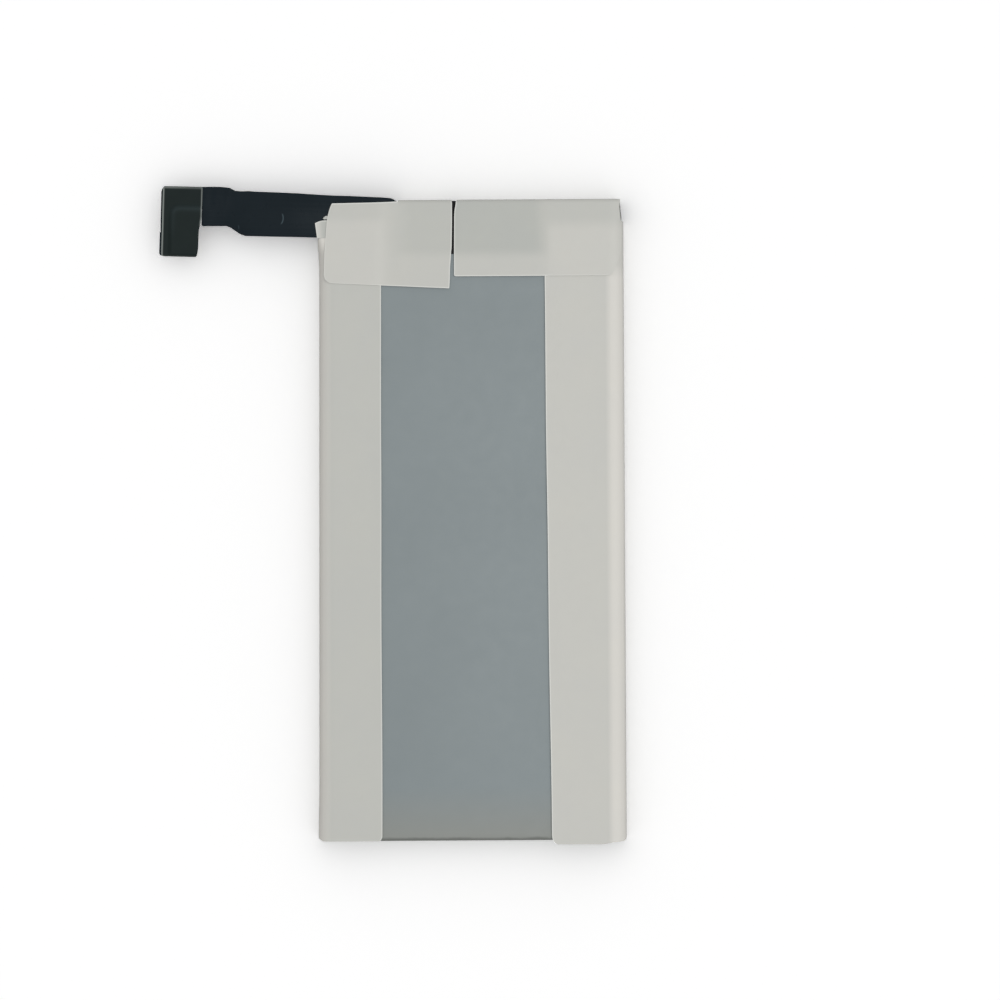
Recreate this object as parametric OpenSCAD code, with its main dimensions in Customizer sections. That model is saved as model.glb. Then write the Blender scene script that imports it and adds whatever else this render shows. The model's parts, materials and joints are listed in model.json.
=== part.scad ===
// A flat lithium polymer battery for a mobile phone, lying on its labelled front face.
// X runs across the pack, Y along it towards the end with the circuit board, and Z up through
// its thickness. The origin is the centre of the label's front face.

/* [Pack] */
// Width over the label
pack_w = 44; // [36:0.5:60]
// Length over the label, without the flexible tail
pack_l = 92.5; // [75:0.5:130]
// Thickness over the label, away from the board end
pack_t = 4.2; // [3.8:0.1:6]

/* [Cell] */
// Thickness of the sealed edge of the pouch, two sheets of laminate
seal_t = 0.28; // [0.2:0.02:0.4]
// Radius of the cup's long edges on the back
cup_edge_r = 1.7; // [1:0.1:1.9]
// Radius of the cup's edges at its two ends
cup_end_r = 1.1; // [0.6:0.1:1.4]
// Radius of the cup's four upright corners
cup_corner_r = 2; // [1:0.1:4]
// Radius of the edges on the flat front
front_r = 0.4; // [0.2:0.05:0.6]
// How high the folded side seals stand
side_seal_h = 2; // [1:0.1:2.2]
// Slit between a folded side seal and the cup
side_seal_gap = 0.05; // [0.03:0.01:0.2]

/* [Bay for the board] */
// Length of the bay between the cup and the cover tape
bay_l = 3.4; // [3.2:0.1:5]
// Thickness of the insulating foam under the board
foam_t = 1.2; // [0.8:0.1:1.4]

/* [Board] */
// Length of the board across the pack
board_l = 20; // [18:0.5:28]
// Width of the board along the pack
board_w = 2.9; // [2.8:0.1:3]
// Thickness of the board
board_t = 0.6; // [0.4:0.1:0.8]
// Sideways place of the board's middle
board_x = -0.1; // [-2:0.1:2]
// Height of the board's underside
board_z = 2.2; // [2.1:0.05:2.3]

/* [Chips on the board] */
// Space between neighbouring chips
chip_gap = 0.5; // [0.3:0.05:0.6]
// Length of a switch transistor
transistor_l = 3; // [2:0.1:3.2]
// Width of a switch transistor
transistor_w = 2; // [1.2:0.1:2.4]
// Height of a switch transistor
transistor_h = 0.75; // [0.4:0.05:0.8]
// Side of the protection chip
ic_w = 1.6; // [1:0.1:2]
// Height of the protection chip
ic_h = 0.55; // [0.4:0.05:0.75]
// Width of the fuse
fuse_w = 0.8; // [0.5:0.1:1]
// Length of the fuse
fuse_l = 1.6; // [1:0.1:2]
// Height of the fuse
fuse_h = 0.45; // [0.3:0.05:0.6]
// Width of the small chip parts
chip_w = 0.5; // [0.3:0.05:0.6]
// Length of the small chip parts
chip_l = 1; // [0.6:0.05:1.1]
// Height of a capacitor
capacitor_h = 0.5; // [0.3:0.05:0.6]
// Height of a resistor
resistor_h = 0.35; // [0.2:0.05:0.45]
// Number of capacitors, and of resistors
chip_count = 3; // [1:1:3]

/* [Tabs] */
// Width of each tab
tab_w = 3.2; // [2:0.1:4]
// Thickness of each tab
tab_t = 0.1; // [0.08:0.01:0.15]
// Distance between the two tabs
tab_pitch = 11; // [8:0.5:13]
// Thickness of the nickel plates under the board
plate_t = 0.25; // [0.15:0.05:0.3]
// How far the sealing film reaches past the sealing ledge
film_reach = 0.3; // [0.2:0.05:0.6]
// Thickness of the sealing film on each side of a tab
film_t = 0.07; // [0.05:0.01:0.1]
// How far the sealing film reaches past each side of a tab
film_margin = 0.8; // [0.4:0.1:1]

/* [Label] */
// Thickness of the label sheet
label_t = 0.1; // [0.06:0.01:0.15]
// Radius of the label where it turns onto the back
label_back_r = 1.9; // [1.2:0.1:2]
// Radius of the label where it turns up from the front
label_front_r = 0.5; // [0.3:0.05:0.6]
// Width of the left strip on the back
left_strip_w = 9.1; // [5:0.1:12]
// Width of the right strip on the back, at its top
right_strip_w = 11.4; // [5:0.1:12]
// How much narrower the right strip is at its foot
right_strip_taper = 0.6; // [0:0.1:2]
// Corner radius at the foot of the strips
strip_foot_r = 0.8; // [0.4:0.1:2]
// How far the right strip's foot runs past the left one
right_foot_drop = 0.5; // [0:0.1:0.8]
// Distance from the board end to where the side walls of the label begin
side_wall_start = 3.2; // [2:0.1:4]
// How far the left strip's free corner stands out over the tail
corner_reach = 0.5; // [0.1:0.1:1]
// Length of the slope on which the left strip climbs over the tail
corner_climb = 1.6; // [0.8:0.1:3]
// Clearance along the tail where the left side wall stops short of it
corner_gap = 0.2; // [0.1:0.05:0.5]
// How far in from its outer side the right strip's foot starts to slope up
foot_slope_l = 2.6; // [1:0.1:4]

/* [End flaps] */
// Width of the slit between the two flaps
slit_w = 0.5; // [0.3:0.05:1.5]
// Sideways place of the slit
slit_x = -2.4; // [-8:0.1:8]
// Length of the left flap along the pack, at the slit
left_flap_l = 12.7; // [9:0.1:18]
// How much shorter the left flap is at its outer side
left_flap_rise = 0.8; // [0:0.1:2]
// Length of the right flap along the pack
right_flap_l = 11; // [9:0.1:18]
// Distance from the pack's left side to the left flap
left_flap_inset = 1.2; // [0.6:0.1:3]
// Distance from the pack's right side to the right flap
right_flap_inset = 0.5; // [0.4:0.1:3]
// Corner radius of the left flap's outer foot
left_flap_r = 1.3; // [0.5:0.1:2]
// How much the left flap spreads from its fold to its foot, at each side
left_flap_spread = 0.5; // [0:0.1:1]
// Cut back of the left flap's outer top corner
left_flap_cut = 0.7; // [0.3:0.1:1.5]
// Distance that the left flap's free top edge stands in from the board end
left_flap_back = 0.4; // [0:0.05:0.5]
// Corner radius at the foot of the right flap, at the slit
right_flap_r = 0.3; // [0.1:0.1:1]
// How much the right flap narrows at its outer side, towards its foot
right_flap_taper = 1.2; // [0:0.1:2]
// Radius of the fold at the board end
fold_r = 0.7; // [0.4:0.1:1]

/* [Cover tape] */
// Thickness of the black cover tape
tape_t = 0.06; // [0.04:0.01:0.1]
// How far the tape laps over the back of the cell
tape_lap = 4.2; // [2:0.1:6]
// Clear height under the tape, over the board
tape_headroom = 0.82; // [0.8:0.02:0.9]

/* [Flexible tail] */
// Thickness of the flexible circuit
flex_t = 0.15; // [0.1:0.01:0.2]
// Width of the tail's band
band_w = 6.3; // [4:0.1:6.4]
// Length of the band, from the pack's side to the neck
band_l = 11.4; // [6:0.1:25]
// Width of the neck
neck_w = 5.5; // [3:0.1:5.8]
// Length of the neck, from the band to the pad
neck_l = 5.1; // [3:0.1:12]
// How far the neck is set off the band's middle, towards the board end
neck_offset = 1; // [0.3:0.05:1.5]
// Length of the shoulder on which the band narrows to the neck
shoulder_l = 3.6; // [2:0.1:5]
// How far the tail is soldered onto the board
root_l = 4; // [3:0.1:5]
// Length of the slope on which the tail goes down from the cell's back to the board
root_slope_l = 3.2; // [2.6:0.1:4]
// Width of the tail's root on the board
root_w = 2.5; // [2:0.1:2.7]
// How far the tail stands out past the board end, beside the end wall
tail_overhang = 0.5; // [0.2:0.1:1]
// Small turn of the tail in the plane of the back, in degrees
tail_turn = 1.9; // [-2:0.1:2.5]
// How far the pad hangs below the level at which the tail leaves the pack
tail_drop = 0.9; // [0:0.1:2]
// Distance from the board end to the tail's middle
tail_exit = 2.25; // [1.6:0.05:2.3]
// Clearance between layers that lie on each other
layer_gap = 0.03; // [0.02:0.01:0.05]

/* [Connector pad] */
// Width of the pad, in line with the tail
pad_w = 5.6; // [4.8:0.05:8]
// Length of the pad, across the tail
pad_l = 9.95; // [8.6:0.05:14]
// How far the pad reaches past the tail's middle towards the board end
pad_top = 3.7; // [2:0.1:4]
// Corner radius of the pad
pad_r = 0.35; // [0.2:0.05:0.8]
// How far the circuit shows past the film at the pad's outer side
pad_lip = 0.4; // [0.1:0.05:0.5]
// Thickness of the pad's cover film
pad_film_t = 0.08; // [0.05:0.01:0.12]
// Thickness of the stiffening plate
stiffener_t = 0.22; // [0.15:0.01:0.4]
// Width of the stiffening plate, below the neck
stiffener_w = 3.7; // [3.3:0.1:4]
// Length of the stiffening plate
stiffener_l = 6.5; // [6:0.1:8]
// Corner radius of the stiffening plate
stiffener_r = 1; // [0.3:0.1:1.4]
// Distance from the pad's foot to the plate
plate_margin = 0.4; // [0.2:0.1:0.8]
// How far the pad's inner side steps back below the neck
pad_step = 0.5; // [0.2:0.1:0.8]

/* [Connector] */
// Width of the connector's body
housing_w = 2.6; // [2.2:0.1:3]
// Length of the connector's body
housing_l = 5.6; // [5.2:0.1:6]
// Height of the connector's body
housing_h = 0.75; // [0.6:0.05:1]
// Wall of the connector's body
housing_wall = 0.42; // [0.3:0.01:0.5]
// Width of the ridge inside the connector
ridge_w = 0.7; // [0.5:0.05:0.9]
// Number of signal contacts on each side
signal_count = 4; // [2:1:5]
// Distance between signal contacts
signal_pitch = 0.5; // [0.4:0.05:0.6]
// Width of a signal contact
signal_w = 0.2; // [0.15:0.01:0.25]
// Width of a power contact
power_w = 0.8; // [0.6:0.05:0.9]
// Thickness of the contact strip
contact_t = 0.1; // [0.06:0.01:0.12]

/* [Hidden] */
$fn = 64;

// Cuts reach this far past the faces that they cut
cut = 1;
// Steps in a curve that is written as a formula
curve_steps = 14;

// Levels, from the front of the label upwards
cell_z0 = label_t + layer_gap;
strip_z = pack_t - label_t;
lap_z = strip_z - layer_gap - tape_t;
cell_z1 = lap_z - layer_gap;
mid_z = (cell_z0 + cell_z1) / 2;
corner_z = lap_z + flex_t + layer_gap;
flap_low = pack_t + layer_gap;
flap_high = corner_z + label_t + layer_gap;
ledge_top = cell_z0 + seal_t;
foam_z = ledge_top + layer_gap + 2 * film_t + layer_gap;
board_top = board_z + board_t;
tape_bay_z = board_top + tape_headroom;

// Places across the pack
half_w = pack_w / 2;
cell_half_w = half_w - label_t - layer_gap;
cup_half_w = cell_half_w - seal_t - side_seal_gap;

// Places along the pack
end_y = pack_l / 2;
foot_y = -end_y + right_foot_drop;
tape_end_y = end_y - label_t - layer_gap;
bay_end_y = tape_end_y - tape_t - layer_gap;
cup_end_y = bay_end_y - bay_l;
board_y = cup_end_y + bay_l / 2;
side_wall_y = end_y - side_wall_start;
tail_y = end_y - tail_exit;

// A tab leaves the sealing ledge at its middle height, turns back and ends under its plate.
// The ledge and the sealing film end where the turn begins.
tab_low_z = ledge_top - seal_t / 2 - tab_t / 2;
tab_high_z = board_z - plate_t - tab_t;
tab_turn_r = (tab_high_z + tab_t - tab_low_z) / 2;
tab_turn_y = bay_end_y - layer_gap - tab_turn_r;
ledge_end_y = tab_turn_y - film_reach;

// Tail, in its own frame: u runs towards the pack, v towards the board end
band_edge = band_w / 2;
neck_u = -band_l;
pad_u = -band_l - neck_l;
neck_top = neck_offset + neck_w / 2;
neck_foot = neck_offset - neck_w / 2;
pad_foot = pad_top - pad_l;
plate_u = pad_u - pad_step - layer_gap - stiffener_w;
plate_v = pad_foot + plate_margin;
pad_z = lap_z - tail_drop;

// The band dives into the pack between the strip and the left flap's fold
left_flap_x0 = -half_w + left_flap_inset;
left_flap_x1 = slit_x - slit_w / 2;
right_flap_x0 = slit_x + slit_w / 2;
right_flap_x1 = half_w - right_flap_inset;
tape_x0 = board_x - board_l / 2 - 0.25;
tape_x1 = board_x + board_l / 2 + 0.6;
flex_root_x = board_x - board_l / 2 + root_l;
flex_ramp_x0 = board_x - board_l / 2 + 0.3;
flex_ramp_x1 = flex_ramp_x0 - root_slope_l;

// Height of a smooth step from 0 to 1, for t from 0 to 1
function ease(t) = t * t * (3 - 2 * t);

// Points of a curve that steps from point a to point b and is level at both ends
function step_points(a, b) = [
    for (i = [0 : curve_steps])
        [a[0] + (b[0] - a[0]) * i / curve_steps, a[1] + (b[1] - a[1]) * ease(i / curve_steps)]
];

// Outline of a strip of the given thickness whose underside follows the points
function strip_outline(points, thickness) = concat(
    points,
    [for (i = [len(points) - 1 : -1 : 0]) [points[i][0], points[i][1] + thickness]]
);

// Extrudes an outline in X and Z along Y, from y0 to y1
module along_y(y0, y1) {
    translate([0, y1, 0])
        rotate([90, 0, 0])
            linear_extrude(y1 - y0)
                children();
}

// Extrudes an outline in Y and Z along X, from x0 to x1
module along_x(x0, x1) {
    translate([x0, 0, 0])
        rotate([90, 0, 90])
            linear_extrude(x1 - x0)
                children();
}

// Extrudes an outline in X and Y from z0 to z1
module along_z(z0, z1) {
    translate([0, 0, z0])
        linear_extrude(z1 - z0)
            children();
}

// Box between two corners
module block(low, high) {
    translate(low)
        cube(high - low);
}

// Rectangle between two corners, with its own radius at each corner where one is given
// as [low left, low right, high right, high left]
module round_rect(low, high, radii) {
    difference() {
        translate(low)
            square(high - low);
        for (i = [0 : 3])
            if (radii[i] > 0) {
                r = radii[i];
                sx = (i == 1 || i == 2) ? -1 : 1;
                sy = (i >= 2) ? -1 : 1;
                corner = [sx > 0 ? low[0] : high[0], sy > 0 ? low[1] : high[1]];
                translate(corner)
                    mirror([sx < 0 ? 1 : 0, 0])
                        mirror([0, sy < 0 ? 1 : 0])
                            corner_cut(r);
            }
    }
}

// What a rounded corner of radius r takes off a square corner at the origin
module corner_cut(r) {
    difference() {
        translate([-cut, -cut])
            square(r + cut);
        translate([r, r])
            circle(r);
    }
}

// Quarter of a ring around the origin, in the quadrant of the given signs
module quarter_ring(outer, thickness, sx, sy) {
    intersection() {
        difference() {
            circle(outer);
            circle(outer - thickness);
        }
        mirror([sx < 0 ? 1 : 0, 0])
            mirror([0, sy < 0 ? 1 : 0])
                square(outer + cut);
    }
}

// The cell

// The drawn cup, the sealing ledge in the bay and the side seals folded up against the cup
module pouch_cell() {
    color("lightslategray")
        union() {
            cup();
            block(
                [-cup_half_w, cup_end_y - cup_end_r - cut, cell_z0],
                [cup_half_w, ledge_end_y, ledge_top]
            );
            side_seal();
            mirror([1, 0, 0])
                side_seal();
        }
}

module cup() {
    cup_foot_y = foot_y + layer_gap;
    intersection() {
        along_y(cup_foot_y, cup_end_y)
            round_rect(
                [-cup_half_w, cell_z0],
                [cup_half_w, cell_z1],
                [front_r, front_r, cup_edge_r, cup_edge_r]
            );
        along_x(-half_w, half_w)
            round_rect(
                [cup_foot_y, cell_z0],
                [cup_end_y, cell_z1],
                [front_r, 0, cup_end_r, cup_end_r]
            );
        along_z(0, pack_t)
            round_rect(
                [-cup_half_w, cup_foot_y],
                [cup_half_w, cup_end_y],
                [cup_corner_r, cup_corner_r, cup_corner_r, cup_corner_r]
            );
    }
}

module side_seal() {
    seal_foot_y = foot_y + cup_corner_r;
    along_y(seal_foot_y, cup_end_y - cup_corner_r)
        difference() {
            round_rect(
                [cup_half_w - cup_edge_r, cell_z0],
                [cell_half_w, cell_z0 + side_seal_h],
                [0, front_r, 0, 0]
            );
            translate([cup_half_w - cup_edge_r - cut, ledge_top])
                square([cup_edge_r + cut + side_seal_gap, side_seal_h + cut]);
        }
}

// A tab leaves the ledge, turns back on itself and lies under its plate
module tab(x) {
    tip_y = cup_end_y + 0.5;
    translate([x - tab_w / 2, 0, 0])
        along_x(0, tab_w) {
            translate([ledge_end_y, tab_low_z])
                square([tab_turn_y - ledge_end_y, tab_t]);
            translate([tip_y, tab_high_z])
                square([tab_turn_y - tip_y, tab_t]);
            translate([tab_turn_y, tab_low_z + tab_turn_r]) {
                quarter_ring(tab_turn_r, tab_t, 1, 1);
                quarter_ring(tab_turn_r, tab_t, 1, -1);
            }
        }
}

module cathode_tab() {
    color("silver")
        tab(board_x - tab_pitch / 2);
}

module anode_tab() {
    color("darkgray")
        tab(board_x + tab_pitch / 2);
}

// Two sealing films, each a flat sleeve round a tab where it leaves the ledge
module tab_films() {
    color("khaki")
        for (side = [-1, 1])
            translate([board_x + side * tab_pitch / 2, 0, 0])
                difference() {
                    block(
                        [-tab_w / 2 - film_margin, ledge_end_y, tab_low_z - film_t],
                        [tab_w / 2 + film_margin, tab_turn_y, tab_low_z + tab_t + film_t]
                    );
                    block(
                        [-tab_w / 2, ledge_end_y - cut, tab_low_z],
                        [tab_w / 2, tab_turn_y + cut, tab_low_z + tab_t]
                    );
                }
}

// Foam strip that stands the tabs off the ledge
module bay_foam() {
    color("dimgray")
        along_z(foam_z, foam_z + foam_t)
            round_rect(
                [board_x - board_l / 2, cup_end_y + 0.1],
                [board_x + board_l / 2, ledge_end_y],
                [0.3, 0.3, 0.3, 0.3]
            );
}

// The board and what it carries

module lead_plate(x) {
    along_z(board_z - plate_t, board_z)
        round_rect(
            [x - tab_w / 2 - 0.2, board_y - board_w / 2 + 0.2],
            [x + tab_w / 2 + 0.2, board_y + board_w / 2 - 0.2],
            [0.2, 0.2, 0.2, 0.2]
        );
}

module cathode_plate() {
    color("silver")
        lead_plate(board_x - tab_pitch / 2);
}

module anode_plate() {
    color("silver")
        lead_plate(board_x + tab_pitch / 2);
}

// The board has rounded corners and a half round notch at each end from its panel
module protection_board() {
    notch_r = 0.4;
    color("darkgreen")
        along_z(board_z, board_top)
            difference() {
                round_rect(
                    [board_x - board_l / 2, board_y - board_w / 2],
                    [board_x + board_l / 2, board_y + board_w / 2],
                    [0.3, 0.3, 0.3, 0.3]
                );
                for (side = [-1, 1])
                    translate([board_x + side * board_l / 2, board_y])
                        circle(notch_r);
            }
}

// Moulded chip package with a chamfered top, centred at x on the board
module chip_package(x, size) {
    edge = 0.08;
    translate([x, board_y, board_top]) {
        block([-size[0] / 2, -size[1] / 2, 0], [size[0] / 2, size[1] / 2, size[2] - edge]);
        block(
            [-size[0] / 2 + edge, -size[1] / 2 + edge, size[2] - edge],
            [size[0] / 2 - edge, size[1] / 2 - edge, size[2]]
        );
    }
}

// Chip part with a metal cap on each end, which stands a little proud of its body
module capped_chip(x, y, size) {
    proud = 0.03;
    cap_l = size[1] / 4;
    translate([x, y, board_top]) {
        block([-size[0] / 2, -size[1] / 2, 0], [size[0] / 2, size[1] / 2, size[2]]);
        for (side = [-1, 1])
            translate([0, side * (size[1] / 2 - cap_l / 2), 0])
                block(
                    [-size[0] / 2 - proud, -cap_l / 2 - proud, 0],
                    [size[0] / 2 + proud, cap_l / 2 + proud, size[2] + proud]
                );
    }
}

// Middles of the chips in a row from the tail's solder joint, a chip gap apart
transistor_x = flex_root_x + chip_gap + transistor_l / 2;
transistor_pitch = transistor_l + chip_gap;
ic_x = transistor_x + transistor_pitch + transistor_l / 2 + chip_gap + ic_w / 2;
fuse_x = ic_x + ic_w / 2 + chip_gap + fuse_w / 2;
chips_x = fuse_x + fuse_w / 2 + chip_gap + chip_w / 2;
chip_pitch = chip_w + chip_gap / 2;
chip_row = board_w / 4 - 0.05;

module switch_transistors() {
    color([0.12, 0.12, 0.13])
        for (i = [0, 1])
            chip_package(transistor_x + i * transistor_pitch, [transistor_l, transistor_w, transistor_h]);
}

module protection_ic() {
    color([0.15, 0.15, 0.16])
        chip_package(ic_x, [ic_w, ic_w, ic_h]);
}

module chip_fuse() {
    color("lightgray")
        capped_chip(fuse_x, board_y, [fuse_w, fuse_l, fuse_h]);
}

module chip_capacitors() {
    color("tan")
        for (i = [0 : chip_count - 1])
            capped_chip(chips_x + i * chip_pitch, board_y + chip_row, [chip_w, chip_l, capacitor_h]);
}

module chip_resistors() {
    color([0.1, 0.1, 0.1])
        for (i = [0 : chip_count - 1])
            capped_chip(chips_x + i * chip_pitch, board_y - chip_row, [chip_w, chip_l, resistor_h]);
}

module thermistor() {
    color([0.2, 0.25, 0.2])
        capped_chip(chips_x + chip_count * chip_pitch, board_y + chip_row, [chip_w, chip_l, resistor_h]);
}

// Black tape that laps over the back of the cell, covers the board and turns down the end
module board_cover_tape() {
    turn_r = 0.4;
    bay_y = cup_end_y + 0.9;
    lap_y = cup_end_y - tape_lap;
    slope_y = cup_end_y - cup_end_r * 0.6;
    tape_foot_z = label_front_r + layer_gap;
    top_points = concat(
        [[lap_y, lap_z]],
        step_points([slope_y, lap_z], [bay_y, tape_bay_z]),
        [[tape_end_y - turn_r, tape_bay_z]]
    );
    color([0.08, 0.08, 0.09])
        along_x(tape_x0, tape_x1) {
            polygon(strip_outline(top_points, tape_t));
            translate([tape_end_y - turn_r, tape_bay_z + tape_t - turn_r])
                quarter_ring(turn_r, tape_t, 1, 1);
            translate([tape_end_y - tape_t, tape_foot_z])
                square([tape_t, tape_bay_z + tape_t - turn_r - tape_foot_z]);
        }
}

// The flexible circuit

// Places what is drawn in the tail's own frame
module in_tail() {
    translate([-half_w, tail_y, 0])
        rotate([0, 0, -tail_turn])
            children();
}

// From its solder joint on the board, the root climbs to the back of the cell. Outside the
// pack the band narrows to the neck, and the neck ends in the pad.
module flex_tail() {
    color([0.12, 0.14, 0.16])
        in_tail()
            intersection() {
                along_y(pad_foot - cut, pad_top + cut)
                    polygon(strip_outline(tail_path(), flex_t));
                along_z(0, flap_high)
                    tail_outline();
            }
}

// Underside of the tail from the pad, over the back of the cell and down to the board
function tail_path() = concat(
    [[pad_u - pad_w - cut, pad_z]],
    step_points([pad_u, pad_z], [-1.5, lap_z]),
    step_points([flex_ramp_x1 + half_w, lap_z], [flex_ramp_x0 + half_w, board_top]),
    [[pack_w, board_top]]
);

// A point of the pack in the tail's own frame
function from_pack(x, y) = [
    (x + half_w) * cos(tail_turn) - (y - tail_y) * sin(tail_turn),
    (x + half_w) * sin(tail_turn) + (y - tail_y) * cos(tail_turn)
];

module tail_outline() {
    inner_x = flex_ramp_x1 - root_w / 4;
    bay_x = tape_x0 - layer_gap;
    bay_side_y = end_y - left_flap_back / 2;
    shoulder = step_points(
        [neck_u + shoulder_l * 2 / 3, -band_edge],
        [neck_u - shoulder_l / 3, neck_foot]
    );
    polygon(concat(
        [
            from_pack(flex_root_x, board_y - root_w / 2),
            from_pack(flex_root_x, board_y + root_w / 2),
            from_pack(bay_x, board_y + root_w / 2),
            from_pack(bay_x, bay_side_y),
            from_pack(bay_x - 2 * tail_overhang, bay_side_y + tail_overhang),
            [neck_u - 0.2, band_edge + 0.1],
            [neck_u - shoulder_l / 3, neck_top],
            [pad_u - cut, neck_top],
            [pad_u - cut, neck_foot]
        ],
        [for (i = [len(shoulder) - 1 : -1 : 0]) shoulder[i]],
        [
            [inner_x + half_w, -band_edge],
            from_pack(inner_x, board_y - root_w / 2)
        ]
    ));
    intersection() {
        round_rect(
            [pad_u - pad_w - pad_lip, pad_foot],
            [pad_u, pad_top],
            [pad_r, 0, pad_r, pad_r]
        );
        beside_step(0);
    }
}

// All to the left of the pad's inner side, which steps back below the neck
module beside_step(inset) {
    low_u = pad_u - pad_step - inset;
    polygon([
        [pad_u - pad_w - cut, pad_foot - cut],
        [low_u, pad_foot - cut],
        [low_u, neck_foot - pad_step],
        [pad_u - inset, neck_foot],
        [pad_u - inset, pad_top + cut],
        [pad_u - pad_w - cut, pad_top + cut]
    ]);
}

// Place of the plate, opposite the connector, up to the given right side
module plate_area(grow, right) {
    round_rect(
        [plate_u - grow, plate_v - grow],
        [right, plate_v + stiffener_l + grow],
        [stiffener_r + grow, 0, 0, stiffener_r + grow]
    );
}

// The plate lies on the pad and reaches to its inner side
module pad_stiffener() {
    plate_z = pad_z + flex_t;
    color("gray")
        in_tail()
            along_z(plate_z, plate_z + stiffener_t)
                intersection() {
                    plate_area(0, pad_u);
                    beside_step(layer_gap);
                }
}

// The film is drawn down round the plate, which shows through it as a ridge
module pad_cover_film() {
    film_z = pad_z + flex_t;
    hollow_z = film_z + stiffener_t + layer_gap;
    color([0.15, 0.17, 0.17])
        in_tail()
            difference() {
                union() {
                    along_z(film_z, film_z + pad_film_t)
                        intersection() {
                            round_rect(
                                [pad_u - pad_w, pad_foot + layer_gap],
                                [pad_u, pad_top - layer_gap],
                                [pad_r, 0, pad_r, pad_r]
                            );
                            beside_step(0);
                        }
                    along_z(film_z, hollow_z + pad_film_t)
                        intersection() {
                            plate_area(pad_film_t + layer_gap, pad_u);
                            beside_step(0);
                        }
                }
                along_z(film_z - cut, hollow_z)
                    plate_area(layer_gap, pad_u + cut);
            }
}

// Middle of the connector, and its underside
housing_u = plate_u + stiffener_w / 2;
housing_v = plate_v + stiffener_l / 2;
housing_z = pad_z - housing_h;
trough_w = housing_w - 2 * housing_wall;
trough_l = housing_l - 2 * housing_wall;
ridge_l = trough_l - 2 * (trough_w - ridge_w) / 2;
floor_t = 0.2;

// Body with a trough round a central ridge, open downwards, and a slot for each contact
module connector_housing() {
    color("black")
        in_tail()
            translate([housing_u, housing_v, housing_z])
                difference() {
                    along_z(0, housing_h)
                        round_rect(
                            [-housing_w / 2, -housing_l / 2],
                            [housing_w / 2, housing_l / 2],
                            [0.25, 0.25, 0.25, 0.25]
                        );
                    difference() {
                        block(
                            [-trough_w / 2, -trough_l / 2, -cut],
                            [trough_w / 2, trough_l / 2, housing_h - floor_t]
                        );
                        block(
                            [-ridge_w / 2, -ridge_l / 2, -cut],
                            [ridge_w / 2, ridge_l / 2, housing_h]
                        );
                    }
                    for (x = [-1, 1]) {
                        for (i = [0 : signal_count - 1])
                            contact_slot(x, signal_y(i), signal_w);
                        for (y = [-1, 1])
                            contact_slot(x, y * power_y, power_w);
                    }
                }
}

// Middle of each signal contact and of the power contacts along the connector
function signal_y(i) = (i - (signal_count - 1) / 2) * signal_pitch;
power_y = trough_l / 2 - power_w / 2;

// Inner face of a contact's leg, measured from the connector's middle
leg_x = trough_w / 2 - layer_gap - contact_t;

// Slot for a contact: over the wall for its strip and through the floor for its leg
module contact_slot(side, y, w) {
    half_slot = w / 2 + layer_gap;
    strip_z = housing_h - contact_t - layer_gap;
    mirror([side < 0 ? 1 : 0, 0, 0])
        translate([0, y, 0]) {
            block([leg_x - layer_gap, -half_slot, strip_z], [housing_w, half_slot, housing_h + cut]);
            block(
                [leg_x - layer_gap, -half_slot, housing_h - floor_t - layer_gap],
                [trough_w / 2, half_slot, housing_h + cut]
            );
        }
}

// A contact lies in its slot, with a foot outside for solder and a leg down the trough's wall
module contact(side, y, w) {
    foot = 0.3;
    leg = 0.35;
    mirror([side < 0 ? 1 : 0, 0, 0])
        translate([0, y - w / 2, 0]) {
            block([leg_x, 0, housing_h - contact_t], [housing_w / 2 + foot, w, housing_h]);
            block([leg_x, 0, housing_h - floor_t - leg], [leg_x + contact_t, w, housing_h]);
        }
}

module signal_contacts() {
    color("gold")
        in_tail()
            translate([housing_u, housing_v, housing_z])
                for (side = [-1, 1])
                    for (i = [0 : signal_count - 1])
                        contact(side, signal_y(i), signal_w);
}

module power_contacts() {
    color("gold")
        in_tail()
            translate([housing_u, housing_v, housing_z])
                for (side = [-1, 1])
                    for (end = [-1, 1])
                        contact(side, end * power_y, power_w);
}

// The label

// One sheet: the front panel, the side walls and strips, and the two flaps over the end
module label_wrap() {
    color("gainsboro")
        union() {
            front_panel();
            side_wrap();
            left_corner();
            left_flap();
            right_flap();
        }
}

module front_panel() {
    block(
        [-half_w + label_front_r, -end_y + label_t, 0],
        [half_w - label_front_r, end_y - label_front_r, label_t]
    );
}

// Section of the sheet round the cell, closed over the back
module wrap_section() {
    difference() {
        round_rect(
            [-half_w, 0],
            [half_w, pack_t],
            [label_front_r, label_front_r, label_back_r, label_back_r]
        );
        round_rect(
            [-half_w + label_t, label_t],
            [half_w - label_t, pack_t - label_t],
            [
                label_front_r - label_t, label_front_r - label_t,
                label_back_r - label_t, label_back_r - label_t
            ]
        );
    }
}

left_wall_y = tail_y - band_edge - corner_gap;
left_strip_x = -half_w + left_strip_w;
right_strip_x = half_w - right_strip_w;
corner_ramp_y = left_wall_y - corner_climb;

// The two side walls with their strips. The left wall stops short of the tail.
module side_wrap() {
    intersection() {
        along_y(-end_y, side_wall_y)
            wrap_section();
        union() {
            block([-half_w - cut, foot_y, -cut], [0, left_wall_y, mid_z]);
            block([0, foot_y, -cut], [half_w + cut, side_wall_y, mid_z]);
            along_z(mid_z - cut / 2, pack_t + cut) {
                left_strip_outline();
                right_strip_outline();
            }
        }
    }
}

module left_strip_outline() {
    round_rect(
        [-half_w - cut, foot_y],
        [left_strip_x, corner_ramp_y],
        [0, strip_foot_r, 0, 0]
    );
    translate([-half_w - cut, foot_y + strip_foot_r])
        square([label_back_r + cut, left_wall_y - foot_y - strip_foot_r]);
}

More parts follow.
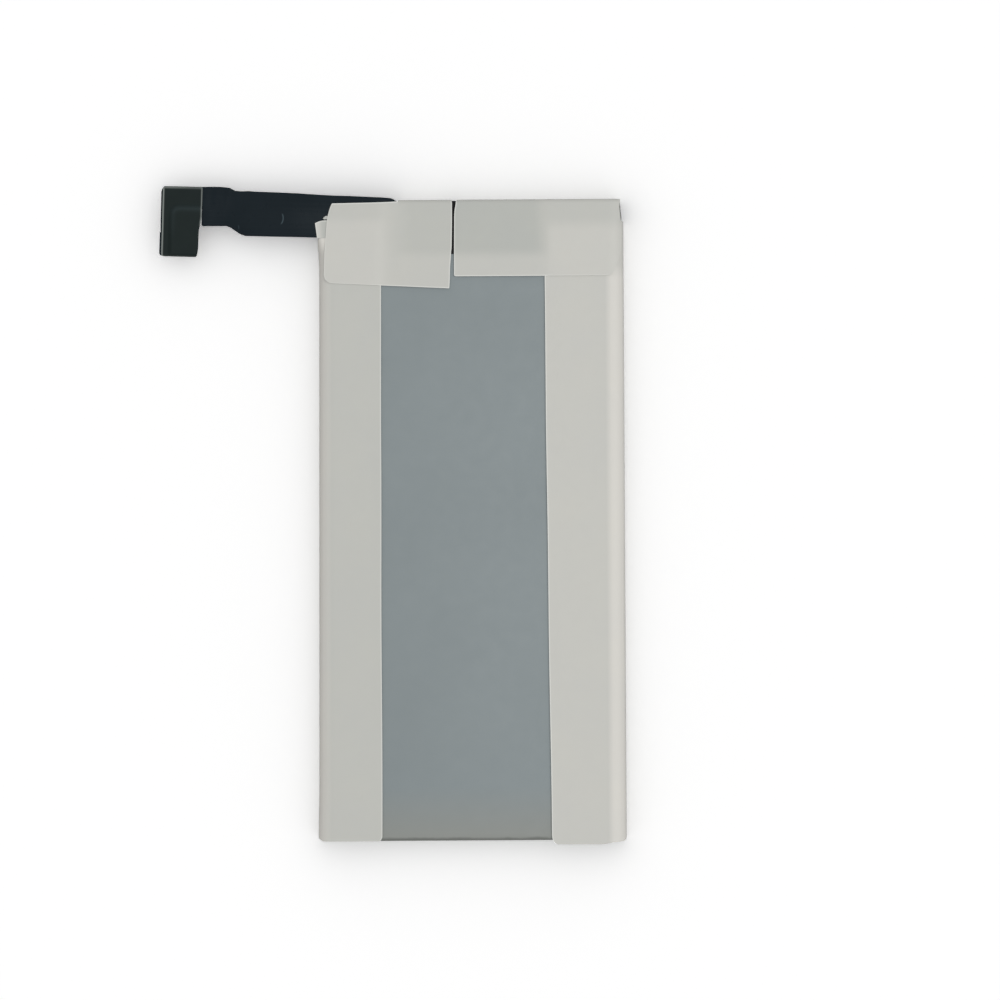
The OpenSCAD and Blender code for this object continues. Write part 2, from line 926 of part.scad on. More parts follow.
// The right strip narrows towards its foot, which runs a little past the cell
module right_strip_outline() {
    foot_x = right_strip_x + right_strip_taper;
    low_y = foot_y - right_foot_drop;
    intersection() {
        polygon([
            [foot_x, low_y],
            [half_w - foot_slope_l, low_y],
            [half_w - strip_foot_r, foot_y],
            [half_w + cut, foot_y + strip_foot_r],
            [half_w + cut, side_wall_y],
            [right_strip_x, side_wall_y]
        ]);
        round_rect(
            [foot_x - strip_foot_r, low_y],
            [half_w + cut, side_wall_y],
            [2 * strip_foot_r, 0, 0, 0]
        );
    }
}

// The left strip's free corner climbs over the tail
module left_corner() {
    points = concat(
        [[corner_ramp_y - corner_climb / 4, strip_z]],
        step_points([corner_ramp_y, strip_z], [left_wall_y, corner_z]),
        [[side_wall_y, corner_z]]
    );
    intersection() {
        along_x(-half_w - cut, left_strip_x)
            polygon(strip_outline(points, label_t));
        along_z(strip_z - cut, flap_high)
            polygon([
                [-half_w + label_back_r, corner_ramp_y - cut],
                [left_strip_x, corner_ramp_y - cut],
                [left_strip_x, side_wall_y],
                [-half_w - corner_reach, side_wall_y],
                [-half_w - corner_reach / 5, left_wall_y],
                [-half_w + label_back_r, left_wall_y]
            ]);
    }
}

// Section of the end wall and its fold, with a short stretch of the panel and of the flap
module end_section() {
    overlap = 2 * fold_r;
    difference() {
        round_rect(
            [end_y - overlap, 0],
            [end_y, flap_high + label_t],
            [0, label_front_r, fold_r, 0]
        );
        round_rect(
            [end_y - overlap - cut, label_t],
            [end_y - label_t, flap_high],
            [0, label_front_r - label_t, fold_r - label_t, 0]
        );
    }
}

// Section of a flap: level over the tail and the tape, then down onto the strips
module flap_section(foot, top) {
    points = concat(
        [[foot, flap_low]],
        step_points([cup_end_y - tape_lap, flap_low], [left_wall_y + corner_gap, flap_high]),
        [[top, flap_high]]
    );
    polygon(strip_outline(points, label_t));
}

// The tail leaves under this flap, so the end wall carries it on its inner part only
module left_flap() {
    foot = end_y - left_flap_l;
    free_y = end_y - left_flap_back;
    along_x(tape_x0, left_flap_x1)
        end_section();
    intersection() {
        along_x(left_flap_x0 - left_flap_spread, left_flap_x1)
            flap_section(foot - cut, end_y - fold_r);
        along_z(mid_z, flap_high + cut)
            left_flap_outline(foot);
    }
    intersection() {
        along_x(left_flap_x0 - left_flap_spread, tape_x0 + cut)
            flap_section(foot - cut, free_y);
        along_z(mid_z, flap_high + cut)
            left_flap_outline(foot);
        block([-pack_w, end_y - 2 * fold_r, 0], [tape_x0, free_y, pack_w]);
    }
}

module left_flap_outline(foot) {
    outer_x = left_flap_x0 - left_flap_spread / 2;
    outer_foot = foot + left_flap_rise;
    foot_x1 = left_flap_x1 - left_flap_spread;
    intersection() {
        polygon([
            [outer_x, outer_foot],
            [foot_x1, foot],
            [left_flap_x1, end_y],
            [left_flap_x0 + left_flap_cut, end_y],
            [left_flap_x0 + left_flap_cut / 3, end_y - 2 * left_flap_cut]
        ]);
        round_rect(
            [outer_x, foot + left_flap_rise * 0.95],
            [left_flap_x1 + cut, end_y + cut],
            [left_flap_r, 0, 0, 0]
        );
    }
    polygon([
        [outer_x + left_flap_r, outer_foot - left_flap_rise * left_flap_r / (foot_x1 - outer_x)],
        [foot_x1, foot],
        [foot_x1, outer_foot + left_flap_r],
        [outer_x + left_flap_r, outer_foot + left_flap_r]
    ]);
}

module right_flap() {
    foot = end_y - right_flap_l;
    along_x(right_flap_x0, right_flap_x1)
        end_section();
    intersection() {
        along_x(right_flap_x0, right_flap_x1)
            flap_section(foot - cut, end_y - fold_r);
        along_z(mid_z, flap_high + cut)
            intersection() {
                round_rect([right_flap_x0, foot], [right_flap_x1, end_y], [right_flap_r, 0, 0, 0]);
                polygon([
                    [right_flap_x0 - cut, foot - cut],
                    [right_flap_x1 - right_flap_taper, foot - cut],
                    [right_flap_x1 - right_flap_taper, foot + right_flap_r],
                    [right_flap_x1, (foot + side_wall_y) / 2],
                    [right_flap_x1, end_y + cut],
                    [right_flap_x0 - cut, end_y + cut]
                ]);
            }
    }
}

pouch_cell();
cathode_tab();
anode_tab();
tab_films();
bay_foam();
cathode_plate();
anode_plate();
protection_board();
switch_transistors();
protection_ic();
chip_fuse();
chip_capacitors();
chip_resistors();
thermistor();
board_cover_tape();
flex_tail();
pad_stiffener();
pad_cover_film();
connector_housing();
signal_contacts();
power_contacts();
label_wrap();
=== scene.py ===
import json
import math

import bmesh
import bpy
from mathutils import Matrix, Vector

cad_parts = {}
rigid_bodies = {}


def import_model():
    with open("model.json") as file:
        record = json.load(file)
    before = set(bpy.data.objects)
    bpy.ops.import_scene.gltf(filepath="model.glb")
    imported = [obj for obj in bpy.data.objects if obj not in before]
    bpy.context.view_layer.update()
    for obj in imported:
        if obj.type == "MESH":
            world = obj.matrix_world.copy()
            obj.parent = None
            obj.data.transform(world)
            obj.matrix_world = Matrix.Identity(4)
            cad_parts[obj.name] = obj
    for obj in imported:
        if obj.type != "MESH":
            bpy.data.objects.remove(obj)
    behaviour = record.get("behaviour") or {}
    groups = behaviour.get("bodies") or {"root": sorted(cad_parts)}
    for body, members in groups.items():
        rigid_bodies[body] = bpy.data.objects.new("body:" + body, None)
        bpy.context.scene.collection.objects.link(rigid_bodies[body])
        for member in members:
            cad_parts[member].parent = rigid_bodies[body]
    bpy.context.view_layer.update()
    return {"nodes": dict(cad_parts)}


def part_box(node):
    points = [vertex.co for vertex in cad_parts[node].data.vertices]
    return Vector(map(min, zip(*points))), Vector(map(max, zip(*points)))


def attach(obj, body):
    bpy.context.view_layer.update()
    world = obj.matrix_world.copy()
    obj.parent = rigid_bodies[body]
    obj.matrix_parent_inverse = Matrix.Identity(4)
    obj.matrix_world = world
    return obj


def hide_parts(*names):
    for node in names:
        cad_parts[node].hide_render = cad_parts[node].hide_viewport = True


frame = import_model()

# The view
# The pack was photographed from straight above. It lay turned by a third of a degree, and the
# picture is 143.3 mm wide at the level of its back.
view_middle = Vector((0.00404, 0.00313, 0.0042))
view_height = 0.45
view_width = 0.14327
camera_data = bpy.data.cameras.new("camera")
camera_data.sensor_width = 36
camera_data.lens = 36 * view_height / view_width
camera_data.clip_start = 0.01
camera = bpy.data.objects.new("camera", camera_data)
camera.location = view_middle + Vector((0, 0, view_height))
camera.rotation_euler = (0, 0, math.radians(-0.33))
bpy.context.scene.collection.objects.link(camera)
bpy.context.scene.camera = camera


# The pouch cell
# Aluminium laminate with a nylon face, drawn into a shallow cup and sealed round its rim. The
# two long seals are folded up against the sides, and the tab end keeps a flat ledge.
MM = 0.001


def low_mm(node):
    return Vector(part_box(node)[0]) * 1000


def high_mm(node):
    return Vector(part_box(node)[1]) * 1000


def new_piece(name, points, faces, edges=()):
    mesh = bpy.data.meshes.new(name)
    mesh.from_pydata([Vector(p) * MM for p in points], list(edges), faces)
    mesh.update()
    piece = bpy.data.objects.new(name, mesh)
    bpy.context.scene.collection.objects.link(piece)
    return piece


def shade(piece, angle=35):
    piece.data.shade_smooth()
    shape = bmesh.new()
    shape.from_mesh(piece.data)
    for edge in shape.edges:
        if len(edge.link_faces) == 2:
            edge.smooth = edge.calc_face_angle(0) < math.radians(angle)
    shape.to_mesh(piece.data)
    shape.free()


def face_outwards(piece):
    shape = bmesh.new()
    shape.from_mesh(piece.data)
    bmesh.ops.recalc_face_normals(shape, faces=shape.faces)
    shape.to_mesh(piece.data)
    shape.free()


def paint(red, green, blue):
    def channel(v):
        v = v / 255
        return v / 12.92 if v <= 0.04045 else ((v + 0.055) / 1.055) ** 2.4
    return (channel(red), channel(green), channel(blue), 1)


class Finish:
    """A material whose patterns are given in millimetres of the object's own coordinates."""

    def __init__(self, name, colour, roughness, metallic=0.0, level=0.5):
        self.material = bpy.data.materials.new(name)
        self.material.use_nodes = True
        self.tree = self.material.node_tree
        self.shader = self.tree.nodes["Principled BSDF"]
        self.shader.inputs["Base Color"].default_value = colour
        self.shader.inputs["Roughness"].default_value = roughness
        self.shader.inputs["Metallic"].default_value = metallic
        self.shader.inputs["Specular IOR Level"].default_value = level
        place = self.tree.nodes.new("ShaderNodeTexCoord")
        scale = self.node("ShaderNodeVectorMath", operation="SCALE")
        scale.inputs["Scale"].default_value = 1000
        self.join(place.outputs["Object"], scale.inputs[0])
        self.place = scale.outputs[0]
        self.bump_end = None

    def node(self, kind, **settings):
        made = self.tree.nodes.new(kind)
        for key, value in settings.items():
            setattr(made, key, value)
        return made

    def join(self, output, socket):
        self.tree.links.new(output, socket)

    def noise(self, per_mm, detail=3.0, stretch=(1, 1, 1), distortion=0.0):
        turn = self.node("ShaderNodeMapping")
        turn.inputs["Scale"].default_value = [per_mm * s for s in stretch]
        self.join(self.place, turn.inputs["Vector"])
        made = self.node("ShaderNodeTexNoise")
        made.inputs["Scale"].default_value = 1
        made.inputs["Detail"].default_value = detail
        made.inputs["Distortion"].default_value = distortion
        self.join(turn.outputs[0], made.inputs["Vector"])
        return made.outputs["Fac"]

    def axes(self, place):
        made = self.node("ShaderNodeSeparateXYZ")
        self.join(place, made.inputs[0])
        return made.outputs

    def calc(self, operation, *values, clamp=False):
        made = self.node("ShaderNodeMath", operation=operation, use_clamp=clamp)
        for value, socket in zip(values, made.inputs):
            if isinstance(value, (int, float)):
                socket.default_value = value
            else:
                self.join(value, socket)
        return made.outputs[0]

    def range(self, value, low, high, to_low, to_high):
        made = self.node("ShaderNodeMapRange")
        for name, number in zip(("From Min", "From Max", "To Min", "To Max"), (low, high, to_low, to_high)):
            made.inputs[name].default_value = number
        self.join(value, made.inputs["Value"])
        return made.outputs["Result"]

    def mix(self, share, low, high):
        made = self.node("ShaderNodeMix", data_type="RGBA")
        self.join(share, made.inputs[0])
        for side, socket in ((low, made.inputs[6]), (high, made.inputs[7])):
            if isinstance(side, tuple):
                socket.default_value = side
            else:
                self.join(side, socket)
        return made.outputs[2]

    def bump(self, height, distance_mm, strength=1.0):
        made = self.node("ShaderNodeBump")
        made.inputs["Strength"].default_value = strength
        made.inputs["Distance"].default_value = distance_mm * MM
        self.join(height, made.inputs["Height"])
        if self.bump_end is not None:
            self.join(self.bump_end, made.inputs["Normal"])
        self.bump_end = made.outputs["Normal"]
        self.join(self.bump_end, self.shader.inputs["Normal"])

    def rough(self, value, low, high):
        self.join(self.range(value, 0.3, 0.7, low, high), self.shader.inputs["Roughness"])

    def colour(self, output):
        self.join(output, self.shader.inputs["Base Color"])

    def wear(self, piece):
        piece.data.materials.clear()
        piece.data.materials.append(self.material)


def dress(node, finish):
    for slot in frame["nodes"][node].material_slots:
        slot.material = finish.material


laminate = Finish("laminate", paint(126, 135, 137), 0.42, level=0.4)
laminate_cloud = laminate.noise(0.07, detail=2)
laminate_plain = laminate.mix(laminate_cloud, paint(122, 131, 133), paint(130, 139, 141))
laminate_axes = laminate.axes(laminate.place)
# Painted reflection: towards the foot the laminate is painted warmer.
near_foot = laminate.range(laminate_axes["Y"], -45.0, -38.0, 1, 0)
laminate_warm_reflection = laminate.mix(near_foot, laminate_plain, paint(133, 136, 132))
# Painted shade: a wavy dark line along the top of the pouch's rounded foot edge, where it turns away from
# the light.
unevenness = laminate.range(laminate.noise(0.5, detail=2), 0.3, 0.7, -0.12, 0.12)
uneven = laminate.calc("ADD", laminate_axes["Y"], unevenness)
foot_edge_painted_shade = laminate.calc(
    "MULTIPLY",
    laminate.range(uneven, -45.45, -45.15, 1, 0),
    laminate.range(laminate_axes["Z"], 2.6, 3.4, 0, 1),
)
laminate.colour(laminate.mix(foot_edge_painted_shade, laminate_warm_reflection, paint(108, 111, 107)))
laminate.rough(laminate.noise(0.5), 0.38, 0.46)
laminate.bump(laminate.noise(9, detail=2), 0.004)
laminate.bump(laminate.noise(0.12, detail=1), 0.03)

pouch_low, pouch_high = low_mm("pouch_cell"), high_mm("pouch_cell")
seal_t = 0.28
seal_gap = 0.05
cup_half = pouch_high.x - seal_t - seal_gap
cup_foot = pouch_low.y
cup_end = cup_foot + 88.35
cup_corner = 2.0
long_edge_r = 1.7
end_edge_r = 1.1
foot_edge_r = 0.6
front_edge_r = 0.4


def inset(height, radius, top):
    rise = height - (top - radius)
    if rise <= 0:
        return 0.0
    return radius - math.sqrt(max(0.0, radius ** 2 - rise ** 2))


def side_shift(y):
    """How far in from its nominal place the left side lies, which runs a little askew."""
    return 0.03 + 0.0055 * y


def cup_ring(inset_x, inset_end, inset_foot, z, corner_steps=8):
    ring = []
    middle_x, middle_y = cup_half - cup_corner, (cup_end - cup_foot) / 2 - cup_corner
    centre_y = (cup_end + cup_foot) / 2
    radius_x = cup_corner - inset_x
    for sx, sy, start in ((1, 1, 0), (-1, 1, 90), (-1, -1, 180), (1, -1, 270)):
        radius_y = cup_corner - (inset_end if sy > 0 else inset_foot)
        for i in range(corner_steps + 1):
            a = math.radians(start + 90 * i / corner_steps)
            ring.append((
                sx * middle_x + radius_x * math.cos(a),
                centre_y + sy * middle_y + radius_y * math.sin(a),
                z,
            ))
    return ring


def skin(rings):
    points = [p for ring in rings for p in ring]
    n = len(rings[0])
    faces = []
    for k in range(len(rings) - 1):
        for i in range(n):
            j = (i + 1) % n
            faces.append((k * n + i, k * n + j, (k + 1) * n + j, (k + 1) * n + i))
    faces.append(tuple(reversed(range(n))))
    faces.append(tuple(range((len(rings) - 1) * n, len(rings) * n)))
    return points, faces


cup_rings = []
for i in range(5):
    a = math.radians(90 * i / 4)
    foot_inset = front_edge_r * (1 - math.sin(a))
    ring_z = pouch_low.z + front_edge_r * (1 - math.cos(a))
    cup_rings.append(cup_ring(foot_inset, foot_inset, foot_inset, ring_z))
for i in range(13):
    a = math.radians(90 * i / 12)
    z = pouch_high.z - long_edge_r * (1 - math.sin(a))
    side_in, end_in, foot_in = (
        inset(z, radius, pouch_high.z) for radius in (long_edge_r, end_edge_r, foot_edge_r)
    )
    cup_rings.append(cup_ring(side_in, end_in, foot_in, z))
cup_points, cup_faces = skin(cup_rings)


def rolled(profile, y0, y1):
    n = len(profile)
    points = [(x, y0, z) for x, z in profile] + [(x, y1, z) for x, z in profile]
    faces = [(i, (i + 1) % n, n + (i + 1) % n, n + i) for i in range(n)]
    faces += [tuple(range(n)), tuple(reversed(range(n, 2 * n)))]
    return points, faces


def put_together(name, parts):
    points, faces = [], []
    for part_points, part_faces in parts:
        start = len(points)
        points += part_points
        faces += [tuple(start + i for i in face) for face in part_faces]
    return new_piece(name, points, faces)


side_seal_top = pouch_low.z + 2
side_fold_r = 0.33
fold = []
for i in range(7):
    a = math.radians(-90 + 90 * i / 6)
    fold.append((
        pouch_high.x - side_fold_r + side_fold_r * math.cos(a),
        pouch_low.z + side_fold_r + side_fold_r * math.sin(a),
    ))
seal_profile = fold + [
    (pouch_high.x, side_seal_top - 0.05),
    (pouch_high.x - 0.06, side_seal_top),
    (pouch_high.x - seal_t + 0.06, side_seal_top),
    (pouch_high.x - seal_t, side_seal_top - 0.05),
    (pouch_high.x - seal_t, pouch_low.z + seal_t + 0.06),
    (cup_half - 0.6, pouch_low.z + seal_t),
    (cup_half - 0.6, pouch_low.z),
]
seal_y0, seal_y1 = cup_foot + cup_corner, cup_end - cup_corner
ledge_profile = [
    (-cup_half + 0.05, pouch_low.z), (cup_half - 0.05, pouch_low.z),
    (cup_half, pouch_low.z + 0.05), (cup_half, pouch_low.z + seal_t - 0.05),
    (cup_half - 0.05, pouch_low.z + seal_t), (-cup_half + 0.05, pouch_low.z + seal_t),
    (-cup_half, pouch_low.z + seal_t - 0.05), (-cup_half, pouch_low.z + 0.05),
]
pouch = put_together("pouch", [
    (cup_points, cup_faces),
    rolled(seal_profile, seal_y0, seal_y1),
    rolled([(-x, z) for x, z in reversed(seal_profile)], seal_y0, seal_y1),
    rolled(ledge_profile, cup_end - 1.5, pouch_high.y),
])
for vert in pouch.data.vertices:
    share = min(1.0, max(0.0, -vert.co.x / MM / 10 - 1))
    vert.co.x += share * side_shift(vert.co.y / MM) * MM
face_outwards(pouch)
shade(pouch)
laminate.wear(pouch)
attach(pouch, "root")
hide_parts("pouch_cell")


# The cell's tabs
# A strip of aluminium foil and one of nickel, welded to the electrodes inside. Each leaves the
# ledge in a sealing film, turns back on itself and ends under its plate.
def rolled_metal(name, colour, roughness):
    finish = Finish(name, colour, roughness, metallic=1.0)
    finish.rough(finish.noise(3, stretch=(8, 0.5, 0.5)), roughness - 0.06, roughness + 0.08)
    finish.bump(finish.noise(6, stretch=(8, 0.4, 0.4)), 0.003)
    return finish


tab_aluminium = rolled_metal("tab_aluminium", paint(205, 206, 208), 0.34)
nickel = rolled_metal("nickel", paint(178, 174, 165), 0.3)
dress("cathode_tab", tab_aluminium)
dress("anode_tab", nickel)


# The tab films
# Milky polypropylene sleeves, melted to the tabs and into the laminate's seal by heated bars.
tab_film = Finish("tab_film", paint(206, 196, 150), 0.45)
tab_film.colour(tab_film.mix(tab_film.noise(0.8), paint(198, 186, 138), paint(214, 206, 164)))
tab_film.bump(tab_film.noise(7), 0.004)
dress("tab_films", tab_film)


# The foam strip
# Fine closed cell foam with an adhesive back, stuck on the ledge to keep the tabs off it.
foam = Finish("foam", paint(38, 38, 40), 0.9)
foam_cells = foam.node("ShaderNodeTexVoronoi")
foam_cells.inputs["Scale"].default_value = 9
foam.join(foam.place, foam_cells.inputs["Vector"])
foam.colour(foam.mix(foam_cells.outputs["Distance"], paint(24, 24, 26), paint(50, 50, 52)))
foam.bump(foam_cells.outputs["Distance"], 0.05)
dress("bay_foam", foam)


# The nickel plates
# Punched from nickel strip and soldered to the board's underside, one for each tab.
dress("cathode_plate", nickel)
dress("anode_plate", nickel)


# The protection board
# Glass epoxy with a green solder mask, cut from its panel at two half round notches. Copper
# under the mask shows as slightly raised paths.
board_green = Finish("board", paint(28, 96, 62), 0.28)
copper = board_green.node("ShaderNodeTexBrick")
copper.offset = 0.37
copper.inputs["Scale"].default_value = 0.6
copper.inputs["Mortar Size"].default_value = 0.03
board_green.join(board_green.place, copper.inputs["Vector"])
board_green.colour(board_green.mix(copper.outputs["Fac"], paint(34, 106, 68), paint(20, 78, 50)))
board_green.bump(copper.outputs["Fac"], -0.02)
dress("protection_board", board_green)


# The moulded chips
# Transistors and the protection chip in black epoxy, placed and soldered by machine.
chip_body = Finish("chip_body", paint(40, 40, 42), 0.6)
chip_body.bump(chip_body.noise(14), 0.006)
chip_body.rough(chip_body.noise(5), 0.52, 0.66)
dress("switch_transistors", chip_body)
dress("protection_ic", chip_body)


# The small chip parts
# Fuse, capacitors, resistors and the temperature sensor: pressed and fired bodies with a tinned
# cap at each end, which the solder wets.
def tinned(name, node, body_low, body_high, body_roughness):
    low, high = low_mm(node), high_mm(node)
    finish = Finish(name, body_high, body_roughness)
    away = finish.calc("SUBTRACT", finish.axes(finish.place)["Y"], (low.y + high.y) / 2)
    cap_start = (high.y - low.y) * 0.24
    cap = finish.range(finish.calc("ABSOLUTE", away), cap_start - 0.01, cap_start, 0, 1)
    body = finish.mix(finish.noise(6), body_low, body_high)
    finish.colour(finish.mix(cap, body, paint(192, 192, 190)))
    finish.join(cap, finish.shader.inputs["Metallic"])
    finish.bump(finish.noise(12), 0.005)
    dress(node, finish)


tinned("fuse_body", "chip_fuse", paint(196, 200, 190), paint(214, 218, 208), 0.35)
tinned("chip_ceramic", "chip_capacitors", paint(146, 112, 78), paint(168, 132, 94), 0.4)
tinned("chip_resistor", "chip_resistors", paint(26, 26, 28), paint(38, 38, 42), 0.3)
tinned("thermistor_body", "thermistor", paint(34, 50, 40), paint(48, 66, 52), 0.35)


# The cover tape
# Black insulating tape, cut to length and pressed over the board and round the cell's end. Its
# dull face shows fine stretch marks across the roll.
black_tape = Finish("black_tape", paint(17, 17, 18), 0.5, level=0.12)
black_tape.bump(black_tape.noise(2.5, stretch=(0.3, 3, 1)), 0.01)
black_tape.rough(black_tape.noise(1.5), 0.44, 0.56)
dress("board_cover_tape", black_tape)


# The flexible tail
# Copper paths between two polyimide films with a satin black face, cut out by a die. It is
# soldered to the board, lies over the cell's back and hangs down a little to its pad.
tail_turn = math.radians(1.9)
tail_x, tail_y = -22.0, 44.0
flex_t = 0.15
lap_z = high_mm("flex_tail").z - flex_t
board_top = high_mm("protection_board").z
pad_low_z = low_mm("pad_stiffener").z - flex_t
pad_u = -16.5


def from_tail(u, v, z):
    return (
        tail_x + u * math.cos(tail_turn) + v * math.sin(tail_turn),
        tail_y - u * math.sin(tail_turn) + v * math.cos(tail_turn),
        z,
    )


def to_tail(x, y):
    return (
        (x - tail_x) * math.cos(tail_turn) - (y - tail_y) * math.sin(tail_turn),
        (x - tail_x) * math.sin(tail_turn) + (y - tail_y) * math.cos(tail_turn),
    )


def ease(t):
    t = min(1.0, max(0.0, t))
    return t * t * (3 - 2 * t)


def tail_height(u):
    outside = pad_low_z + (lap_z - pad_low_z) * ease((u - pad_u) / (-1.5 - pad_u))
    return outside + (board_top - lap_z) * ease((u - 9.0) / 3.2)


tail_edge = [
    to_tail(-6.1, 43.08), to_tail(-6.1, 45.58), to_tail(-10.38, 45.58), to_tail(-10.38, 46.0),
    (10.95, 2.72), (10.6, 2.86), (8.1, 2.92), (4.4, 2.98), (1.9, 2.98), (-0.3, 3.06), (-3.0, 3.16),
    (-6.7, 3.24), (-9.2, 3.28), (-9.8, 3.33), (-11.1, 3.28), (-11.8, 3.35), (-12.2, 3.52),
    (-12.6, 3.73), (-13.1, 3.8), (-14.1, 3.86), (-15.6, 3.83), (-16.5, 3.78), (-17.0, 3.68),
    (-19.0, 3.65), (-21.8, 3.64), (-22.18, 3.54), (-22.38, 3.28), (-22.44, 2.9), (-22.43, -0.2),
    (-22.41, -2.7), (-22.35, -2.8), (-22.49, -2.92), (-22.51, -5.9), (-22.37, -6.17), (-21.95, -6.3),
    (-17.5, -6.33), (-17.2, -6.2), (-17.05, -5.6), (-17.0, -5.2), (-16.97, -2.5), (-16.86, -1.95),
    (-16.62, -1.5),
    (-16.46, -1.78), (-16.3, -1.85), (-15.0, -1.82), (-12.95, -1.76), (-12.3, -2.0),
    (-11.5, -2.54), (-10.85, -2.92), (-10.2, -3.13), (-6.5, -3.14), (0.0, -3.13),
    (9.3, -3.1), to_tail(-13.4, 43.08),
]
tail_shape = bmesh.new()
tail_corners = [tail_shape.verts.new((u, v, 0)) for u, v in tail_edge]
tail_shape.faces.new(tail_corners)
station = -21.6
while station < 15.5:
    bmesh.ops.bisect_plane(
        tail_shape,
        geom=tail_shape.verts[:] + tail_shape.edges[:] + tail_shape.faces[:],
        plane_co=(station, 0, 0),
        plane_no=(1, 0, 0),
    )
    station += 0.25 if 8.8 < station < 12.4 else 0.75
tail_uv = [(vert.co.x, vert.co.y) for vert in tail_shape.verts]
tail_shape.verts.index_update()
tail_faces = [tuple(vert.index for vert in face.verts) for face in tail_shape.faces]
tail_shape.free()
tail = new_piece(
    "flexible_tail",
    [from_tail(u, v, tail_height(u) + flex_t) for u, v in tail_uv],
    tail_faces,
)
if tail.data.polygons[0].normal.z < 0:
    tail.data.flip_normals()
tail_map = tail.data.uv_layers.new(name="tail")
for loop in tail.data.loops:
    tail_map.data[loop.index].uv = tail_uv[loop.vertex_index]


def apply_modifiers(piece):
    finished = bpy.data.meshes.new_from_object(
        piece.evaluated_get(bpy.context.evaluated_depsgraph_get())
    )
    piece.modifiers.clear()
    piece.data = finished


def thicken(piece, thickness_mm, rim_round_mm=0.0):
    wall = piece.modifiers.new("wall", "SOLIDIFY")
    wall.thickness = thickness_mm * MM
    wall.offset = -1
    if rim_round_mm:
        edge = piece.modifiers.new("edge", "BEVEL")
        edge.width = rim_round_mm * MM
        edge.segments = 2
        edge.limit_method = "ANGLE"
        edge.angle_limit = math.radians(50)
    apply_modifiers(piece)


thicken(tail, flex_t, 0.02)
shade(tail, 30)

flex = Finish("flex", paint(24, 32, 37), 0.3, level=0.06)
tail_place = flex.node("ShaderNodeUVMap", uv_map="tail").outputs[0]


def arc_painted_highlight(centre, radius, half_width, start, stop):
    """A painted highlight in the tail's face, as light caught by a small crease, along the right part of a
    circle, which fades at its ends.
    """
    fade = 0.25
    apart = flex.node("ShaderNodeVectorMath", operation="DISTANCE")
    flex.join(tail_place, apart.inputs[0])
    apart.inputs[1].default_value = (centre[0], centre[1], 0)
    off = flex.calc("ABSOLUTE", flex.calc("SUBTRACT", apart.outputs["Value"], radius))
    axes = flex.axes(tail_place)
    result = flex.range(off, 0, half_width, 1, 0)
    for other in (
        flex.range(axes["Y"], start, start + fade, 0, 1),
        flex.range(axes["Y"], stop - fade, stop, 1, 0),
        flex.range(axes["X"], centre[0], centre[0] + 0.02, 0, 1),
    ):
        result = flex.calc("MULTIPLY", result, other)
    return result


# The two arcs are painted highlights, where light would catch small creases in the film.
long_painted_highlight = arc_painted_highlight((-6.24, -0.47), 1.45, 0.13, -1.4, 0.25)
short_painted_highlight = arc_painted_highlight((-12.36, -2.0), 1.2, 0.1, -2.25, -1.5)
painted_highlights = flex.calc("ADD", long_painted_highlight, flex.range(short_painted_highlight, 0, 1, 0, 0.5), clamp=True)
flex_cloud = flex.noise(0.25, detail=2)
flex_plain = flex.mix(flex_cloud, paint(21, 29, 34), paint(27, 35, 40))
flex.colour(flex.mix(painted_highlights, flex_plain, paint(68, 81, 87)))
paths = flex.node("ShaderNodeTexWave", wave_type="BANDS", bands_direction="Y")
paths.inputs["Scale"].default_value = 0.42
paths.inputs["Distortion"].default_value = 0
flex.join(tail_place, paths.inputs["Vector"])
flex.bump(flex.range(paths.outputs["Fac"], 0.35, 0.65, 0, 1), 0.006)
flex.bump(flex.noise(8), 0.002)
flex.rough(flex.noise(0.9), 0.26, 0.34)
flex.wear(tail)
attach(tail, "root")
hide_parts("flex_tail")


# The stiffening plate
# Rolled stainless sheet, glued on the pad behind the connector to take the push of mating.
stiffener = rolled_metal("stiffener", paint(150, 150, 150), 0.36)
dress("pad_stiffener", stiffener)


# The pad's cover film
# Black polyester film with an adhesive back. It is pressed down round the plate, whose edge
# shows as a soft ridge with a painted highlight along its top and left side, and its cut edges
# are paler, most on the left.
plate_u0 = -20.73
plate_v0, plate_v1 = -5.85, 0.65
plate_r = 1.0
film_t = 0.08
film_low = pad_low_z + flex_t
film_ridge = 0.25
film_u0 = -22.2
film_v0, film_v1 = -6.34, 3.78
ramp = 0.5
rim_w = 0.28


def along(marks, value):
    """The height of a line through the marks, level before the first and after the last."""
    if value <= marks[0][0]:
        return marks[0][1]
    for (a, low), (b, high) in zip(marks, marks[1:]):
        if value <= b:
            return low + (high - low) * (value - a) / (b - a)
    return marks[-1][1]


def film_right(v):
    return along([
        (-6.34, -17.26), (-6.22, -17.12), (-5.9, -17.0), (-5.1, -16.9), (-3.4, -16.9), (-2.46, -16.87),
        (-1.97, -16.79), (-1.4, -16.65), (-0.6, -16.54), (3.6, -16.54), (3.78, -16.6),
    ], v)


def film_left(v):
    corner = 0.3
    near_top = max(0.0, corner - (film_v1 - v))
    near_foot = max(0.0, corner - (v - film_v0))
    away = max(near_top, near_foot)
    return film_u0 + corner - math.sqrt(max(0.0, corner ** 2 - away ** 2))


def from_plate(u, v):
    """Distance from the plate's edge, above zero outside it."""
    left = plate_u0 + plate_r - u
    top = v - (plate_v1 - plate_r)
    foot = plate_v0 - v
    if left > 0 and top > 0:
        away = math.hypot(left, top) - plate_r
    else:
        away = max(left, top) - plate_r
    return max(away, foot)


def spread(low, high, steps, rim):
    edge = [rim * i / 3 for i in range(3)]
    inner = [low + rim + (high - low - 2 * rim) * i / steps for i in range(steps + 1)]
    return [low + e for e in edge] + inner + [high - e for e in reversed(edge)]


